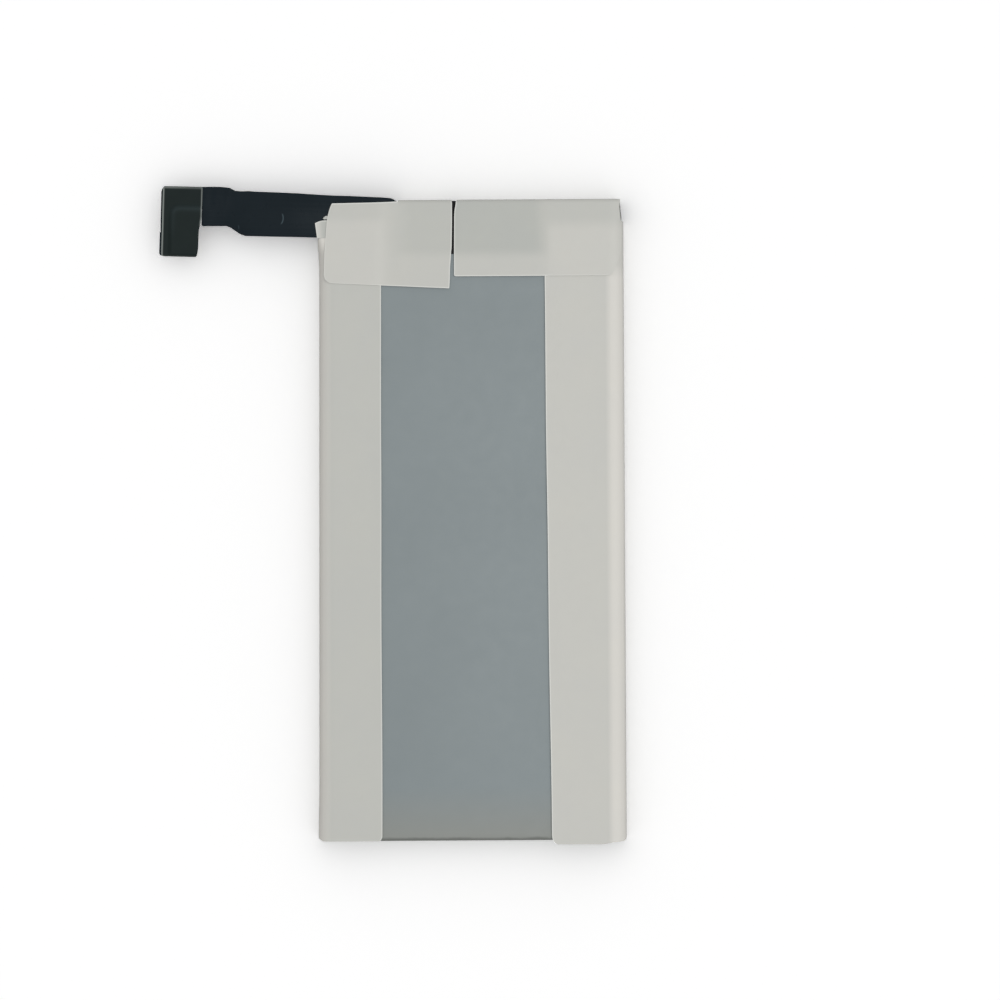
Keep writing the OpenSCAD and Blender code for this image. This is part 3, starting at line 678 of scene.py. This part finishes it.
pad_points, pad_rim, pad_ridge_highlight = [], [], []
film_columns, film_rows = 46, 76
rows = spread(film_v0, film_v1, film_rows, rim_w)
for v in rows:
    left, right = film_left(v), film_right(v)
    for u in spread(left, right, film_columns, rim_w):
        away = from_plate(u, v)
        z = film_low + film_t + film_ridge * ease(1 - (away - 0.04) / ramp)
        pad_points.append(from_tail(u, v, z))
        rims = (
            (u - left, 1.0, rim_w), (right - u, 0.9 * ease((v + 2.0) / 0.8), 0.2),
            (film_v1 - v, 0.8 - 0.35 * ease((u - left) / 4.5), 0.42), (v - film_v0, 0.22, 0.2),
        )
        pad_rim.append(max(
            strong * min(1.0, max(0.0, 1.6 * (1 - apart / wide))) for apart, strong, wide in rims
        ))
        on_top = ease((v + 0.6) / 1.2)
        pad_ridge_highlight.append(
            math.exp(-(away / 0.42) ** 2) * (on_top + 0.5 * (1 - on_top) * ease((v + 5.0) / 4.0))
        )
across = film_columns + 7
pad_faces = []
for j in range(len(rows) - 1):
    for i in range(across - 1):
        a = j * across + i
        pad_faces.append((a, a + 1, a + 1 + across, a + across))


def note_points(piece, name, values):
    layer = piece.data.attributes.new(name, "FLOAT", "POINT")
    for i, value in enumerate(values):
        layer.data[i].value = value


pad_film_piece = new_piece("pad_film_cover", pad_points, pad_faces)
note_points(pad_film_piece, "cut_edge", pad_rim)
note_points(pad_film_piece, "ridge", pad_ridge_highlight)
thicken(pad_film_piece, film_t)
shade(pad_film_piece, 40)

pad_film = Finish("pad_film", paint(27, 35, 35), 0.36, level=0.06)
pad_cloud = pad_film.noise(0.35, detail=2)
pad_plain = pad_film.mix(pad_cloud, paint(24, 32, 32), paint(30, 38, 37))
# Painted highlight: the film is painted lighter along the ridge's top and, fading down, its left side.
pad_highlight_mask = pad_film.node("ShaderNodeAttribute", attribute_name="ridge")
pad_ridge_painted_highlight = pad_film.mix(pad_highlight_mask.outputs["Fac"], pad_plain, paint(39, 48, 49))
pad_edge = pad_film.node("ShaderNodeAttribute", attribute_name="cut_edge")
pad_film.colour(pad_film.mix(pad_edge.outputs["Fac"], pad_ridge_painted_highlight, paint(128, 133, 130)))
pad_film.bump(pad_film.noise(7), 0.003)
pad_film.rough(pad_film.noise(1.2), 0.32, 0.4)
pad_film.wear(pad_film_piece)
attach(pad_film_piece, "root")
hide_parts("pad_cover_film")


# The connector's body
# Moulded in black heat proof plastic, with a trough round a ridge that the socket's mating part
# fills. It is soldered under the pad by its contacts.
connector_body = Finish("connector_body", paint(34, 34, 35), 0.5)
connector_body.bump(connector_body.noise(16), 0.004)
connector_body.rough(connector_body.noise(4), 0.44, 0.56)
dress("connector_housing", connector_body)


# The contacts
# Stamped from copper alloy strip, bent and gold plated. They are pressed into the body in two
# rows, small ones for the signals and wide ones for the current.
contact_t = 0.1
housing_half = 1.3
leg_outer = 0.85
contact_foot = 0.3
leg_reach = 0.35
floor_t = 0.2
housing_high = high_mm("connector_housing")
housing_place = (-18.88, -2.6)
trough_half = 2.38


def contact_rows_tree():
    tree = bpy.data.node_groups.new("contact_rows", "GeometryNodeTree")
    face = tree.interface
    for name, kind in (
        ("Geometry", "Geometry"), ("Count", "Int"), ("Pitch", "Float"), ("Width", "Float"),
        ("Thickness", "Float"), ("Bend", "Float"), ("Material", "Material"),
    ):
        face.new_socket(name, in_out="INPUT", socket_type="NodeSocket" + kind)
    face.new_socket("Geometry", in_out="OUTPUT", socket_type="NodeSocketGeometry")
    nodes, links = tree.nodes, tree.links
    given = nodes.new("NodeGroupInput")
    path = nodes.new("GeometryNodeMeshToCurve")
    bent = nodes.new("GeometryNodeFilletCurve")
    bent.mode = "POLY"
    bent.inputs["Count"].default_value = 4
    strip = nodes.new("GeometryNodeCurvePrimitiveQuadrilateral")
    swept = nodes.new("GeometryNodeCurveToMesh")
    swept.inputs["Fill Caps"].default_value = True
    step = nodes.new("ShaderNodeCombineXYZ")
    row = nodes.new("GeometryNodeMeshLine")
    whole = nodes.new("ShaderNodeMath")
    whole.operation = "MULTIPLY"
    less = nodes.new("ShaderNodeMath")
    less.operation = "SUBTRACT"
    less.inputs[1].default_value = 1
    half = nodes.new("ShaderNodeMath")
    half.operation = "MULTIPLY"
    half.inputs[1].default_value = -0.5
    start = nodes.new("ShaderNodeCombineXYZ")
    placed = nodes.new("GeometryNodeInstanceOnPoints")
    real = nodes.new("GeometryNodeRealizeInstances")
    dressed = nodes.new("GeometryNodeSetMaterial")
    result = nodes.new("NodeGroupOutput")
    for source, output, target, socket in (
        (given, "Geometry", path, "Mesh"), (path, "Curve", bent, "Curve"),
        (given, "Bend", bent, "Radius"), (given, "Width", strip, "Width"),
        (given, "Thickness", strip, "Height"), (bent, "Curve", swept, "Curve"),
        (strip, "Curve", swept, "Profile Curve"), (given, "Count", less, 0),
        (less, 0, whole, 0), (given, "Pitch", whole, 1), (whole, 0, half, 0),
        (half, 0, start, "Y"), (given, "Pitch", step, "Y"), (given, "Count", row, "Count"),
        (start, 0, row, "Start Location"), (step, 0, row, "Offset"),
        (row, "Mesh", placed, "Points"), (swept, "Mesh", placed, "Instance"),
        (placed, "Instances", real, "Geometry"), (real, "Geometry", dressed, "Geometry"),
        (given, "Material", dressed, "Material"), (dressed, "Geometry", result, "Geometry"),
    ):
        links.new(source.outputs[output], target.inputs[socket])
    return tree


contact_rows = contact_rows_tree()


def grow(piece, tree, values):
    work = piece.modifiers.new("rows", "NODES")
    work.node_group = tree
    for item in tree.interface.items_tree:
        if item.in_out == "INPUT" and item.name in values:
            work[item.identifier] = values[item.name]
    apply_modifiers(piece)


contact_gold = Finish("contact_gold", paint(226, 184, 104), 0.26, metallic=1.0)
contact_gold.rough(contact_gold.noise(4), 0.2, 0.32)
contact_gold.bump(contact_gold.noise(10), 0.002)


def contact_set(name, node, count, pitch, width):
    middle = contact_t / 2
    top = -middle
    leg_x = leg_outer - middle
    leg_end = -floor_t - leg_reach
    points, edges = [], []
    for side in (-1, 1):
        first = len(points)
        points += [
            (side * (housing_half + contact_foot), 0, top), (side * leg_x, 0, top),
            (side * leg_x, 0, leg_end),
        ]
        edges += [(first, first + 1), (first + 1, first + 2)]
    piece = new_piece(name, points, [], edges)
    grow(piece, contact_rows, {
        "Count": count, "Pitch": pitch * MM, "Width": width * MM, "Thickness": contact_t * MM,
        "Bend": 0.07 * MM, "Material": contact_gold.material,
    })
    turn = Matrix.Rotation(-tail_turn, 4, "Z")
    spot = Vector(from_tail(*housing_place, housing_high.z)) * MM
    piece.data.transform(Matrix.Translation(spot) @ turn)
    face_outwards(piece)
    shade(piece)
    contact_gold.wear(piece)
    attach(piece, "root")
    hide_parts(node)


contact_set("signal_contact_rows", "signal_contacts", 4, 0.5, 0.2)
contact_set("power_contact_rows", "power_contacts", 2, 2 * trough_half - 0.8, 0.8)


# The label
# One sheet of pale matt film, printed on its hidden front, die cut and folded round the pack by
# hand. Its cut edges show pale, and it is thin enough for what lies under it to change its tone.
# Its tone also carries painted light: the rounded back edges are painted lighter, the right strip
# lighter than the left, and painted shade darkens the right flap's cut edge at the open corner.
half_w = 22.0
end_y = 46.25
sheet_t = 0.1
back_z = 4.2
front_r = 0.5
back_r = 1.9
fold_r = 0.7
cut_line = 0.2
sheet_points, sheet_faces, sheet_index = [], [], {}
sheet_cut_edge_and_shade, sheet_tone = [], []


def sheet_point(x, y, z, cut=0.0, tone=0.5):
    key = (round(x, 3), round(y, 3), round(z, 3))
    if key not in sheet_index:
        sheet_index[key] = len(sheet_points)
        sheet_points.append((x, y, z))
        sheet_cut_edge_and_shade.append(cut)
        sheet_tone.append(tone)
    return sheet_index[key]


def sheet_grid(rows):
    for low_row, high_row in zip(rows, rows[1:]):
        for i in range(len(low_row) - 1):
            corners = (low_row[i], low_row[i + 1], high_row[i + 1], high_row[i])
            loop = [c for k, c in enumerate(corners) if c != corners[k - 1]]
            if len(set(loop)) > 2:
                sheet_faces.append(tuple(loop))


def near_cut(*distances):
    return max(0.0, 1 - min(distances) / cut_line)


def wave(value, length, phase):
    return math.sin(2 * math.pi * value / length + phase)


def left_strip_edge(y):
    return -13.09 + 0.0021 * (y + 45.6) + 0.1 * ease((y - 10) / 20) + 0.03 * wave(y, 41, 0.6)


def right_strip_edge(y):
    return 11.16 - 0.0075 * (y + 46) + 0.09 * (y / 46) ** 2 + 0.025 * wave(y, 33, 2.1)


def corner_back(away, radius):
    if away >= radius:
        return 0.0
    return radius - math.sqrt(max(0.0, radius ** 2 - (radius - away) ** 2))


def left_x(x, y):
    """Moves a place near the left side, which runs askew and swells at its foot and at the tail."""
    swell = 0.1 * ease((-38 - y) / 7) + 0.17 * ease((y - 36) / 4.5)
    return x + (side_shift(y) - swell) * ease((-15 - x) / 5)


foot_line = -45.7
foot_rows = [0, 0.03, 0.07, 0.13, 0.2, 0.3, 0.42, 0.58, 0.8, 1.1, 1.6, 2.3, 3.2]
foot_drops = [
    (-1.0, 0.0), (-0.74, 0.0), (-0.65, -0.5), (-0.5, -0.2), (-0.42, 0.0), (0.5, 0.0), (0.58, -0.3),
    (0.62, 0.2), (0.68, 0.32), (0.7, 0.33), (0.82, 0.62), (1.0, 0.58),
]


def sheet_y(line, off, position):
    """Y of a row. Near the foot it follows the cut, for a place from -1, left, to 1, right."""
    if off is None:
        return line
    return foot_line - along(foot_drops, position) * (1 - ease(off / foot_rows[-1])) + off


def foot_cut(off, strength):
    return 0.0 if off is None else strength * near_cut(off)


def strip_lift(away, y, side):
    """The free inner edge of a strip stands a few hundredths off the pouch, away from the flaps."""
    rest = ease((33 - y) / 6)
    return 0.045 * rest * math.exp(-away / 0.6) * (0.6 + 0.4 * wave(y, 27 if side < 0 else 35, 1.3))


def corner_rise(y):
    return 0.09 * ease((y - 39.35) / 1.4)


def corner_top(x, line):
    """Y of a row near the left strip's free top edge, which is cut in a slight curve."""
    if line < 41.2:
        return line
    top = 43.33 - 0.17 * max(0.0, -20.7 - x) ** 2 - 0.28 * ease((x + 20.5) / 1.5)
    return 41.2 + (line - 41.2) * (top - 41.2) / (wall_end - 41.2)


slit_y = 40.78
wall_end = 43.05
strip_steps = [0, 0.07, 0.14, cut_line, 0.35, 0.6, 1.0]
arc_steps = 10
back_edge = half_w - back_r


def left_strip_row(line, off):
    row = []
    y = sheet_y(line, off, -1)
    inner = left_strip_edge(y)
    if off is not None:
        inner -= corner_back(off * 0.78, 0.62)
    places = [inner - s for s in strip_steps]
    places += [inner - 1 - (inner - 1 + back_edge) * (i + 1) / 9 for i in range(9)]
    for x in places:
        x_here = left_x(x, y)
        y_here = corner_top(x_here, y)
        away = inner - x
        z = back_z + strip_lift(away, y, -1) + corner_rise(y)
        cut = max(0.85 * near_cut(away), foot_cut(off, 0.3))
        row.append(sheet_point(x_here, y_here, z, cut, 0.24))
    return row


def left_side_row(line, off):
    """From the left strip round the back edge, down the side wall and under to the front."""
    row = []
    for i in range(arc_steps + 1):
        y = sheet_y(line, off, -0.8 + 0.15 * i / arc_steps)
        radius = back_r - 1.2 * ease((y - 37.8) / 3)
        flat = back_r - radius
        s = (flat + math.pi / 2 * radius) * i / arc_steps
        a = max(0.0, s - flat) / radius
        x = left_x(-back_edge - min(s, flat) - radius * math.sin(a), y)
        z = back_z + corner_rise(y) - radius * (1 - math.cos(a))
        # Painted highlight: the tone rises round the rounded edge, painting it lighter towards the side.
        tone = 0.24 + 0.34 * ease(i / 2) + 0.4 * ease((i - 2) / 3)
        row.append(sheet_point(x, y, z, foot_cut(off, 0.3), tone))
    end_z = sheet_points[row[-1]][2]
    for i in range(1, 5):
        y = sheet_y(line, off, -0.65 + 0.1 * i / 4)
        z = end_z + (front_r - end_z) * i / 4
        row.append(sheet_point(left_x(-half_w, y), y, z, foot_cut(off, 0.5), 0.6))
    for i in range(1, 7):
        a = math.radians(90 * i / 6)
        y = sheet_y(line, off, -0.55 + 0.05 * i / 6)
        x = left_x(-half_w + front_r - front_r * math.cos(a), y)
        row.append(sheet_point(x, y, front_r - front_r * math.sin(a), foot_cut(off, 0.5), 0.5))
    return row


def corner_row(line):
    """The left strip's free corner lies flat on the tail, past a short slit at the back edge."""
    row = []
    start = left_x(-back_edge, line)
    outer = along([(40.8, -21.95), (42.95, -22.22)], line)
    for i in range(11):
        t = i / 10
        x = start + (outer - start) * t
        y = corner_top(x, line)
        away = x - outer
        cut = max(0.6 * near_cut(away), 0.7 * near_cut((wall_end - line)))
        tone = along([(0, 0.24), (0.25, 0.0), (0.55, 0.02), (0.8, 0.5), (1, 0.6)], t)
        row.append(sheet_point(x, y, back_z + corner_rise(y) + 0.05 * t ** 3, cut, tone))
    return row


def under_flap(y):
    """1 where the right flap covers the strip and the back edge."""
    return ease((y - 35) / 0.6)


def right_side_row(line, off):
    """From the front round the right side and the back edge to the right strip's inner edge."""
    row = []
    for i in range(7):
        a = math.radians(90 * i / 6)
        x = half_w - front_r + front_r * math.sin(a)
        y = sheet_y(line, off, 0.5)
        row.append(sheet_point(x, y, front_r - front_r * math.cos(a), foot_cut(off, 0.5), 0.5))
    for i in range(1, 5):
        z = front_r + (back_z - back_r - front_r) * i / 4
        y = sheet_y(line, off, 0.5 + 0.08 * i / 4)
        row.append(sheet_point(half_w, y, z, foot_cut(off, 0.5), 0.6))
    for i in range(1, arc_steps + 1):
        a = math.radians(90 * i / arc_steps)
        x = back_edge + back_r * math.cos(a)
        y = sheet_y(line, off, 0.58 + 0.1 * i / arc_steps)
        z = back_z - back_r + back_r * math.sin(a)
        # Painted light: the rounded edge is painted darker at its outer rim and lighter towards the back.
        tone = (0.3 + 0.65 * ease((i - 1) / 3)) * (1 - 0.42 * under_flap(y))
        row.append(sheet_point(x, y, z, 0.0, tone))
    inner = right_strip_edge(sheet_y(line, off, 1))
    if off is not None:
        inner += corner_back(off * 0.83, 0.95)
    places = [back_edge - (back_edge - inner - 1) * (i + 1) / 10 for i in range(10)]
    places += [inner + s for s in reversed(strip_steps[:-1])]
    for x in places:
        y = sheet_y(line, off, 0.7 + 0.3 * min(1.0, (back_edge - x) / 4))
        away = x - inner
        # Painted light: the right strip's tone is set lighter than the left strip's, rising to a painted
        # highlight at the back edge.
        tone = 0.46 + 0.49 * ease((x - back_edge + 0.3) / 0.5) * (1 - under_flap(y))
        row.append(sheet_point(x, y, back_z + strip_lift(away, y, 1), near_cut(away), tone))
    return row


foot_lines = [(foot_line + off, off) for off in foot_rows]
body_start = foot_line + foot_rows[-1]
body_lines = [body_start + (38.6 - body_start) * (i + 1) / 44 for i in range(44)]
slit_lines = [38.6 + (slit_y - 38.6) * (i + 1) / 9 for i in range(9)]
corner_lines = [40.8, 41.0, 41.2, 41.5, 41.9, 42.3, 42.6, wall_end - cut_line, wall_end - 0.1, wall_end]
walled_lines = foot_lines + [(line, None) for line in body_lines + slit_lines]
all_lines = walled_lines + [(line, None) for line in corner_lines]
sheet_grid([left_strip_row(line, off) for line, off in all_lines])
sheet_grid([left_side_row(line, off) for line, off in walled_lines])
sheet_grid([corner_row(line) for line in corner_lines])
sheet_grid([right_side_row(line, off) for line, off in all_lines])

# A torn shred of the sheet lies on the tail beside the flap
shred_rim = [
    (-20.45, 43.98), (-20.72, 43.95), (-20.95, 43.78), (-21.1, 43.58), (-20.9, 43.46), (-20.45, 43.5),
]
shred = [sheet_point(x, y, 4.29, 0.0, 0.0) for x, y in shred_rim]
shred_middle = sheet_point(-20.78, 43.7, 4.36, 0.0, 0.0)
for here, there in zip(shred, shred[1:] + shred[:1]):
    sheet_faces.append((here, there, shred_middle))

# The two flaps fold over the end, one on each side of a narrow slit
slit_left, slit_right = -2.6, -2.07
free_x = -10.35
flap_top_y = end_y - fold_r
left_outer = [
    (34.3, -21.02), (35.8, -21.0), (39.0, -20.9), (43.1, -20.55), (43.9, -20.42), (44.7, -20.21),
    (45.25, -20.03), (45.75, -19.8),
]
left_inner = [
    (33.5, -3.1), (35.6, -2.97), (37.2, -2.92), (38.2, -2.81), (39.0, -2.76), (39.4, -2.69),
    (43.0, -2.61), (45.5, slit_left),
]
right_inner = [
    (35.2, -2.36), (40.0, -2.33), (44.0, -2.29), (45.0, -2.2), (45.35, -2.08), (45.5, slit_right),
]


def columns_between(x0, x1, step):
    n = max(1, round((x1 - x0 - 2 * cut_line) / step))
    inner = [x0 + cut_line + (x1 - x0 - 2 * cut_line) * i / n for i in range(n + 1)]
    return [x0, x0 + cut_line / 2] + inner + [x1 - cut_line / 2, x1]


left_wall_columns = columns_between(free_x, slit_left, 0.5)
rim_columns = 3
left_free_columns = columns_between(-19.95, free_x, 0.5)[:-rim_columns]
right_columns = columns_between(slit_right, half_w - front_r, 0.55)


def drape(x, y):
    """Height of a flap's face: it lies on the strips, sags to the tape and pouch between them,
    and rides up over the free corner and the tail."""
    over_left = ease((-12.3 - x) / 1.2)
    over_right = ease((x - 10.2) / 1.0)
    base = 4.235 + 0.095 * max(over_left, over_right)
    over_tail = over_left * ease((y - 39.6) / 1.8)
    base += 0.09 * over_tail * (1 - 0.45 * ease((y - 43.5) / 0.7))
    base += 0.09 * (1 - over_left) * ease((-8.5 - x) / 3) * ease((y - 40.5) / 1.5)
    if x > back_edge:
        reach = back_r + 0.13
        side = min(reach * 0.98, x - back_edge)
        bent = back_z - back_r + math.sqrt(reach ** 2 - side ** 2)
        base -= (back_z + 0.13 - bent) * (0.55 + 0.45 * ease((43.8 - y) / 1.2))
    return min(base, 4.42)


def flap_tone(x, y):
    """Tone of the film over what it covers: dark over tape and tail, light over the strips."""
    over_left = ease((-10.6 - x) / 3.0)
    over_right = ease((x - 9.2) / 2.6)
    tone = 0.36 + 0.16 * max(over_left, over_right)
    over_tape = ease((x - free_x + 2.4) / 4.8) * ease((11.9 - x) / 3.0) * ease((y - 37.4) / 2.0)
    tape_tone = 0.12 if x < slit_left else -0.04
    tone += (tape_tone - tone) * over_tape
    over_tail = over_left * ease((y - 42.4) / 1.8)
    tone += (0.3 - tone) * over_tail
    over_bay = over_right * ease((y - 41.4) / 2.4)
    return tone + (0.22 - tone) * over_bay


def left_flap_sides(y):
    return along(left_outer, y), along(left_inner, y)


def right_flap_sides(y):
    outer = half_w - front_r + 0.2 * ease((45.4 - y) / 2.4) - 1.15 * ease((39.5 - y) / 4.3)
    return along(right_inner, y), outer


def flap_rows(foot, top, step):
    rows = [foot + off for off in (0, 0.06, 0.12, cut_line, 0.3, 0.45, 0.65, 0.95, 1.3)]
    n = round((top - rows[-1]) / step)
    return rows + [rows[-1] + (top - rows[-1]) * (i + 1) / n for i in range(n)]


def corner_edge_painted_shade(y):
    """Where the right flap's outer edge turns down into the open corner, its cut edge carries painted
    shade.
    """
    return -ease((y - 43.0) / 0.4) * ease((45.7 - y) / 0.4)


def flap_row(columns, sides, y, foot, slope, left_r, right_r):
    """One row across a flap. Its columns keep their share between the flap's two sides."""
    x0, x1 = sides(y)
    away = y - foot
    x0 += corner_back(away, left_r)
    x1 -= corner_back(away, right_r)
    top0, top1 = columns[0], columns[-1]
    row = []
    for c in columns:
        x = x0 + (x1 - x0) * (c - top0) / (top1 - top0)
        y_here = y - slope * (x - x0) / (x1 - x0) * (1 - ease(away / 7))
        foot_curl = 0.03 * math.exp(-away / 0.5) if -12.5 < x < 10 else 0.0
        over_strip = x < -13 or x > 11
        cut = max(near_cut(x - x0, x1 - x), near_cut(away)) * (0.4 if over_strip else 0.9)
        if x > back_edge:
            # Negative values here paint shade on the cut edge at the open corner.
            cut = 0.2 * cut + 1.5 * corner_edge_painted_shade(y) * near_cut(x1 - x)
        row.append(sheet_point(x, y_here, drape(x, y_here) + foot_curl, cut, flap_tone(x, y_here)))
    return row


left_foot, right_foot = 34.3, 35.22
left_columns = left_free_columns + left_wall_columns
left_grid = [
    flap_row(left_columns, left_flap_sides, y, left_foot, slope=0.8, left_r=1.25, right_r=0.1)
    for y in flap_rows(left_foot, flap_top_y, 0.42)
]
sheet_grid(left_grid)
right_grid = [
    flap_row(right_columns, right_flap_sides, y, right_foot, slope=0.0, left_r=0.25, right_r=0.9)
    for y in flap_rows(right_foot, flap_top_y, 0.42)
]
sheet_grid(right_grid)


def end_rows(top_row, slit_side):
    """The fold at the end, the end wall and its turn under to the front, below a flap's top row."""
    tops = [(*sheet_points[i], sheet_tone[i]) for i in top_row]
    slit_x = tops[slit_side][0]

    def row_at(y, height, tone_share, widen):
        row = []
        for x, _, z, tone in tops:
            from_slit = abs(x - slit_x)
            x_here = x + widen * max(0.0, 1 - from_slit / 0.6) * (1 if slit_side == 0 else -1)
            fade = 0.35 + (tone - 0.35) * tone_share
            row.append(sheet_point(x_here, y, height(z), near_cut(from_slit), fade))
        return row

    rows = [top_row]
    for i in range(1, 9):
        a = math.radians(90 * i / 8)
        drop = fold_r * (1 - math.cos(a))
        rows.append(row_at(
            flap_top_y + fold_r * math.sin(a), lambda z: z - drop, 1 - 0.5 * i / 8, 0.1 * math.sin(a) ** 2
        ))
    for i in range(1, 5):
        rows.append(row_at(end_y, lambda z: z - fold_r + (front_r - z + fold_r) * i / 4, 0.5, 0.1))
    for i in range(1, 6):
        a = math.radians(90 * i / 5)
        low = front_r - front_r * math.sin(a)
        rows.append(row_at(end_y - front_r + front_r * math.cos(a), lambda z: low, 0.5, 0.1))
    sheet_grid(rows)
    return rows[-1]


first_wall_column = len(left_free_columns)
left_under = end_rows(left_grid[-1][first_wall_column:], -1)
right_under = end_rows(right_grid[-1], 0)

# The outer part of the left flap has a free top edge over the tail
free_row = left_grid[-1][: first_wall_column + 1]
free_tops = [sheet_points[i] for i in free_row]
free_grid = [free_row]
for share in (0.3, 0.55, 0.8, 1.0):
    row = []
    for x, y, z in free_tops:
        t = (x - free_tops[0][0]) / (free_tops[-1][0] - free_tops[0][0])
        rise = 0.19 + 0.16 * t + 0.1 * t ** 6
        slope = 0.11 * share * (1 - t) ** 12
        cut = max(near_cut(rise * (1 - share)), near_cut(x - free_tops[0][0]))
        row.append(sheet_point(x + slope, y + rise * share, z - 0.02 * share, cut, 0.3))
    free_grid.append(row)
sheet_grid(free_grid)

# The front panel joins the side walls, the end walls and the foot
panel_ends = sorted(
    {sheet_points[i][0] for i in left_under + right_under} | {-half_w + front_r, half_w - front_r}
)
panel_lines = all_lines + [(44.2, None), (end_y - front_r, None)]
panel_grid = []
for line, off in panel_lines:
    row = []
    for x in panel_ends:
        y = sheet_y(line, off, 0.5 * x / (half_w - front_r))
        row.append(sheet_point(left_x(x, y), y, 0.0, foot_cut(off, 0.5), 0.5))
    panel_grid.append(row)
sheet_grid(panel_grid)

label = new_piece("folded_label", sheet_points, sheet_faces)
note_points(label, "cut_edge", sheet_cut_edge_and_shade)
note_points(label, "tone", sheet_tone)
face_outwards(label)
thicken(label, sheet_t)
shade(label, 50)

label_film = Finish("label", paint(192, 191, 186), 0.55, level=0.35)
tone = label_film.node("ShaderNodeAttribute", attribute_name="tone")
edge = label_film.node("ShaderNodeAttribute", attribute_name="cut_edge")
plain = label_film.mix(tone.outputs["Fac"], paint(182, 184, 179), paint(214, 212, 206))
plain.node.clamp_factor = False
cloud = label_film.noise(0.16, detail=2)
clouded = label_film.node("ShaderNodeMix", data_type="RGBA", blend_type="MULTIPLY")
clouded.inputs[0].default_value = 1
label_film.join(plain, clouded.inputs[6])
label_film.join(
    label_film.mix(cloud, paint(250, 250, 251), paint(255, 254, 252)), clouded.inputs[7]
)
cut_pale = label_film.mix(edge.outputs["Fac"], clouded.outputs[2], paint(222, 223, 218))
# Painted shade: negative cut_edge values darken the right flap's cut edge at the open corner.
in_shade = label_film.range(edge.outputs["Fac"], -1, 0, 1, 0)
label_film.colour(label_film.mix(in_shade, cut_pale, paint(62, 62, 60)))
label_film.bump(label_film.noise(6, detail=4), 0.005)
label_film.bump(label_film.noise(0.25, detail=1), 0.02)
label_film.rough(label_film.noise(0.7), 0.5, 0.6)
label_film.wear(label)
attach(label, "root")
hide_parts("label_wrap")


# The studio
# A plain white sheet under a soft dome of light. A long soft box, high on the right and flagged
# off the sheet, lights the pack itself.
def seen_directly(tree):
    """1 for what the camera sees, directly, in a mirror or through glass."""
    path = tree.nodes.new("ShaderNodeLightPath")
    total = path.outputs["Is Camera Ray"]
    for name in ("Is Glossy Ray", "Is Transmission Ray"):
        more = tree.nodes.new("ShaderNodeMath")
        more.operation = "MAXIMUM"
        tree.links.new(total, more.inputs[0])
        tree.links.new(path.outputs[name], more.inputs[1])
        total = more.outputs[0]
    return total


floor_reach = 3000
floor = new_piece("floor", [
    (-floor_reach, -floor_reach, -0.02), (floor_reach, -floor_reach, -0.02),
    (floor_reach, floor_reach, -0.02), (-floor_reach, floor_reach, -0.02),
], [(0, 1, 2, 3)])
floor_material = bpy.data.materials.new("floor")
floor_material.use_nodes = True
floor_tree = floor_material.node_tree
floor_tree.nodes.clear()
floor_seen = seen_directly(floor_tree)
floor_white = floor_tree.nodes.new("ShaderNodeMix")
floor_white.data_type = "RGBA"
floor_white.inputs[6].default_value = (0.5, 0.5, 0.5, 1)
floor_white.inputs[7].default_value = (1.54, 1.54, 1.54, 1)
floor_tree.links.new(floor_seen, floor_white.inputs[0])
floor_paint = floor_tree.nodes.new("ShaderNodeBsdfDiffuse")
floor_tree.links.new(floor_white.outputs[2], floor_paint.inputs["Color"])
floor_glow = floor_tree.nodes.new("ShaderNodeEmission")
floor_glow.inputs["Color"].default_value = (1, 1, 1, 1)
floor_share = floor_tree.nodes.new("ShaderNodeMath")
floor_share.operation = "MULTIPLY"
floor_share.inputs[1].default_value = 0.05
floor_tree.links.new(floor_seen, floor_share.inputs[0])
floor_tree.links.new(floor_share.outputs[0], floor_glow.inputs["Strength"])
floor_sum = floor_tree.nodes.new("ShaderNodeAddShader")
floor_tree.links.new(floor_paint.outputs[0], floor_sum.inputs[0])
floor_tree.links.new(floor_glow.outputs[0], floor_sum.inputs[1])
floor_out = floor_tree.nodes.new("ShaderNodeOutputMaterial")
floor_tree.links.new(floor_sum.outputs[0], floor_out.inputs["Surface"])
floor.data.materials.append(floor_material)

world = bpy.data.worlds.new("studio")
bpy.context.scene.world = world
world.use_nodes = True
world_tree = world.node_tree
world_tree.nodes.clear()
world_seen = seen_directly(world_tree)
dome = world_tree.nodes.new("ShaderNodeBackground")
dome.inputs["Color"].default_value = (1, 1, 1, 1)
dome_level = world_tree.nodes.new("ShaderNodeMapRange")
dome_level.inputs["To Min"].default_value = 0.62
dome_level.inputs["To Max"].default_value = 1.0
world_tree.links.new(world_seen, dome_level.inputs["Value"])
world_tree.links.new(dome_level.outputs["Result"], dome.inputs["Strength"])
world_out = world_tree.nodes.new("ShaderNodeOutputWorld")
world_tree.links.new(dome.outputs[0], world_out.inputs["Surface"])

box_data = bpy.data.lights.new("soft_box", "AREA")
box_data.shape = "RECTANGLE"
box_data.size = 0.5
box_data.size_y = 1.2
box_data.energy = 5.3
box = bpy.data.objects.new("soft_box", box_data)
box.location = (0.42, 0.1, 1.0)
box.rotation_euler = (Vector((0, 0, 0)) - box.location).to_track_quat("-Z", "Y").to_euler()
bpy.context.scene.collection.objects.link(box)
lit = bpy.data.collections.new("lit_by_soft_box")
for item in bpy.context.scene.objects:
    if item.type == "MESH" and item != floor:
        lit.objects.link(item)
box.light_linking.receiver_collection = lit

bpy.context.scene.view_settings.view_transform = "Standard"
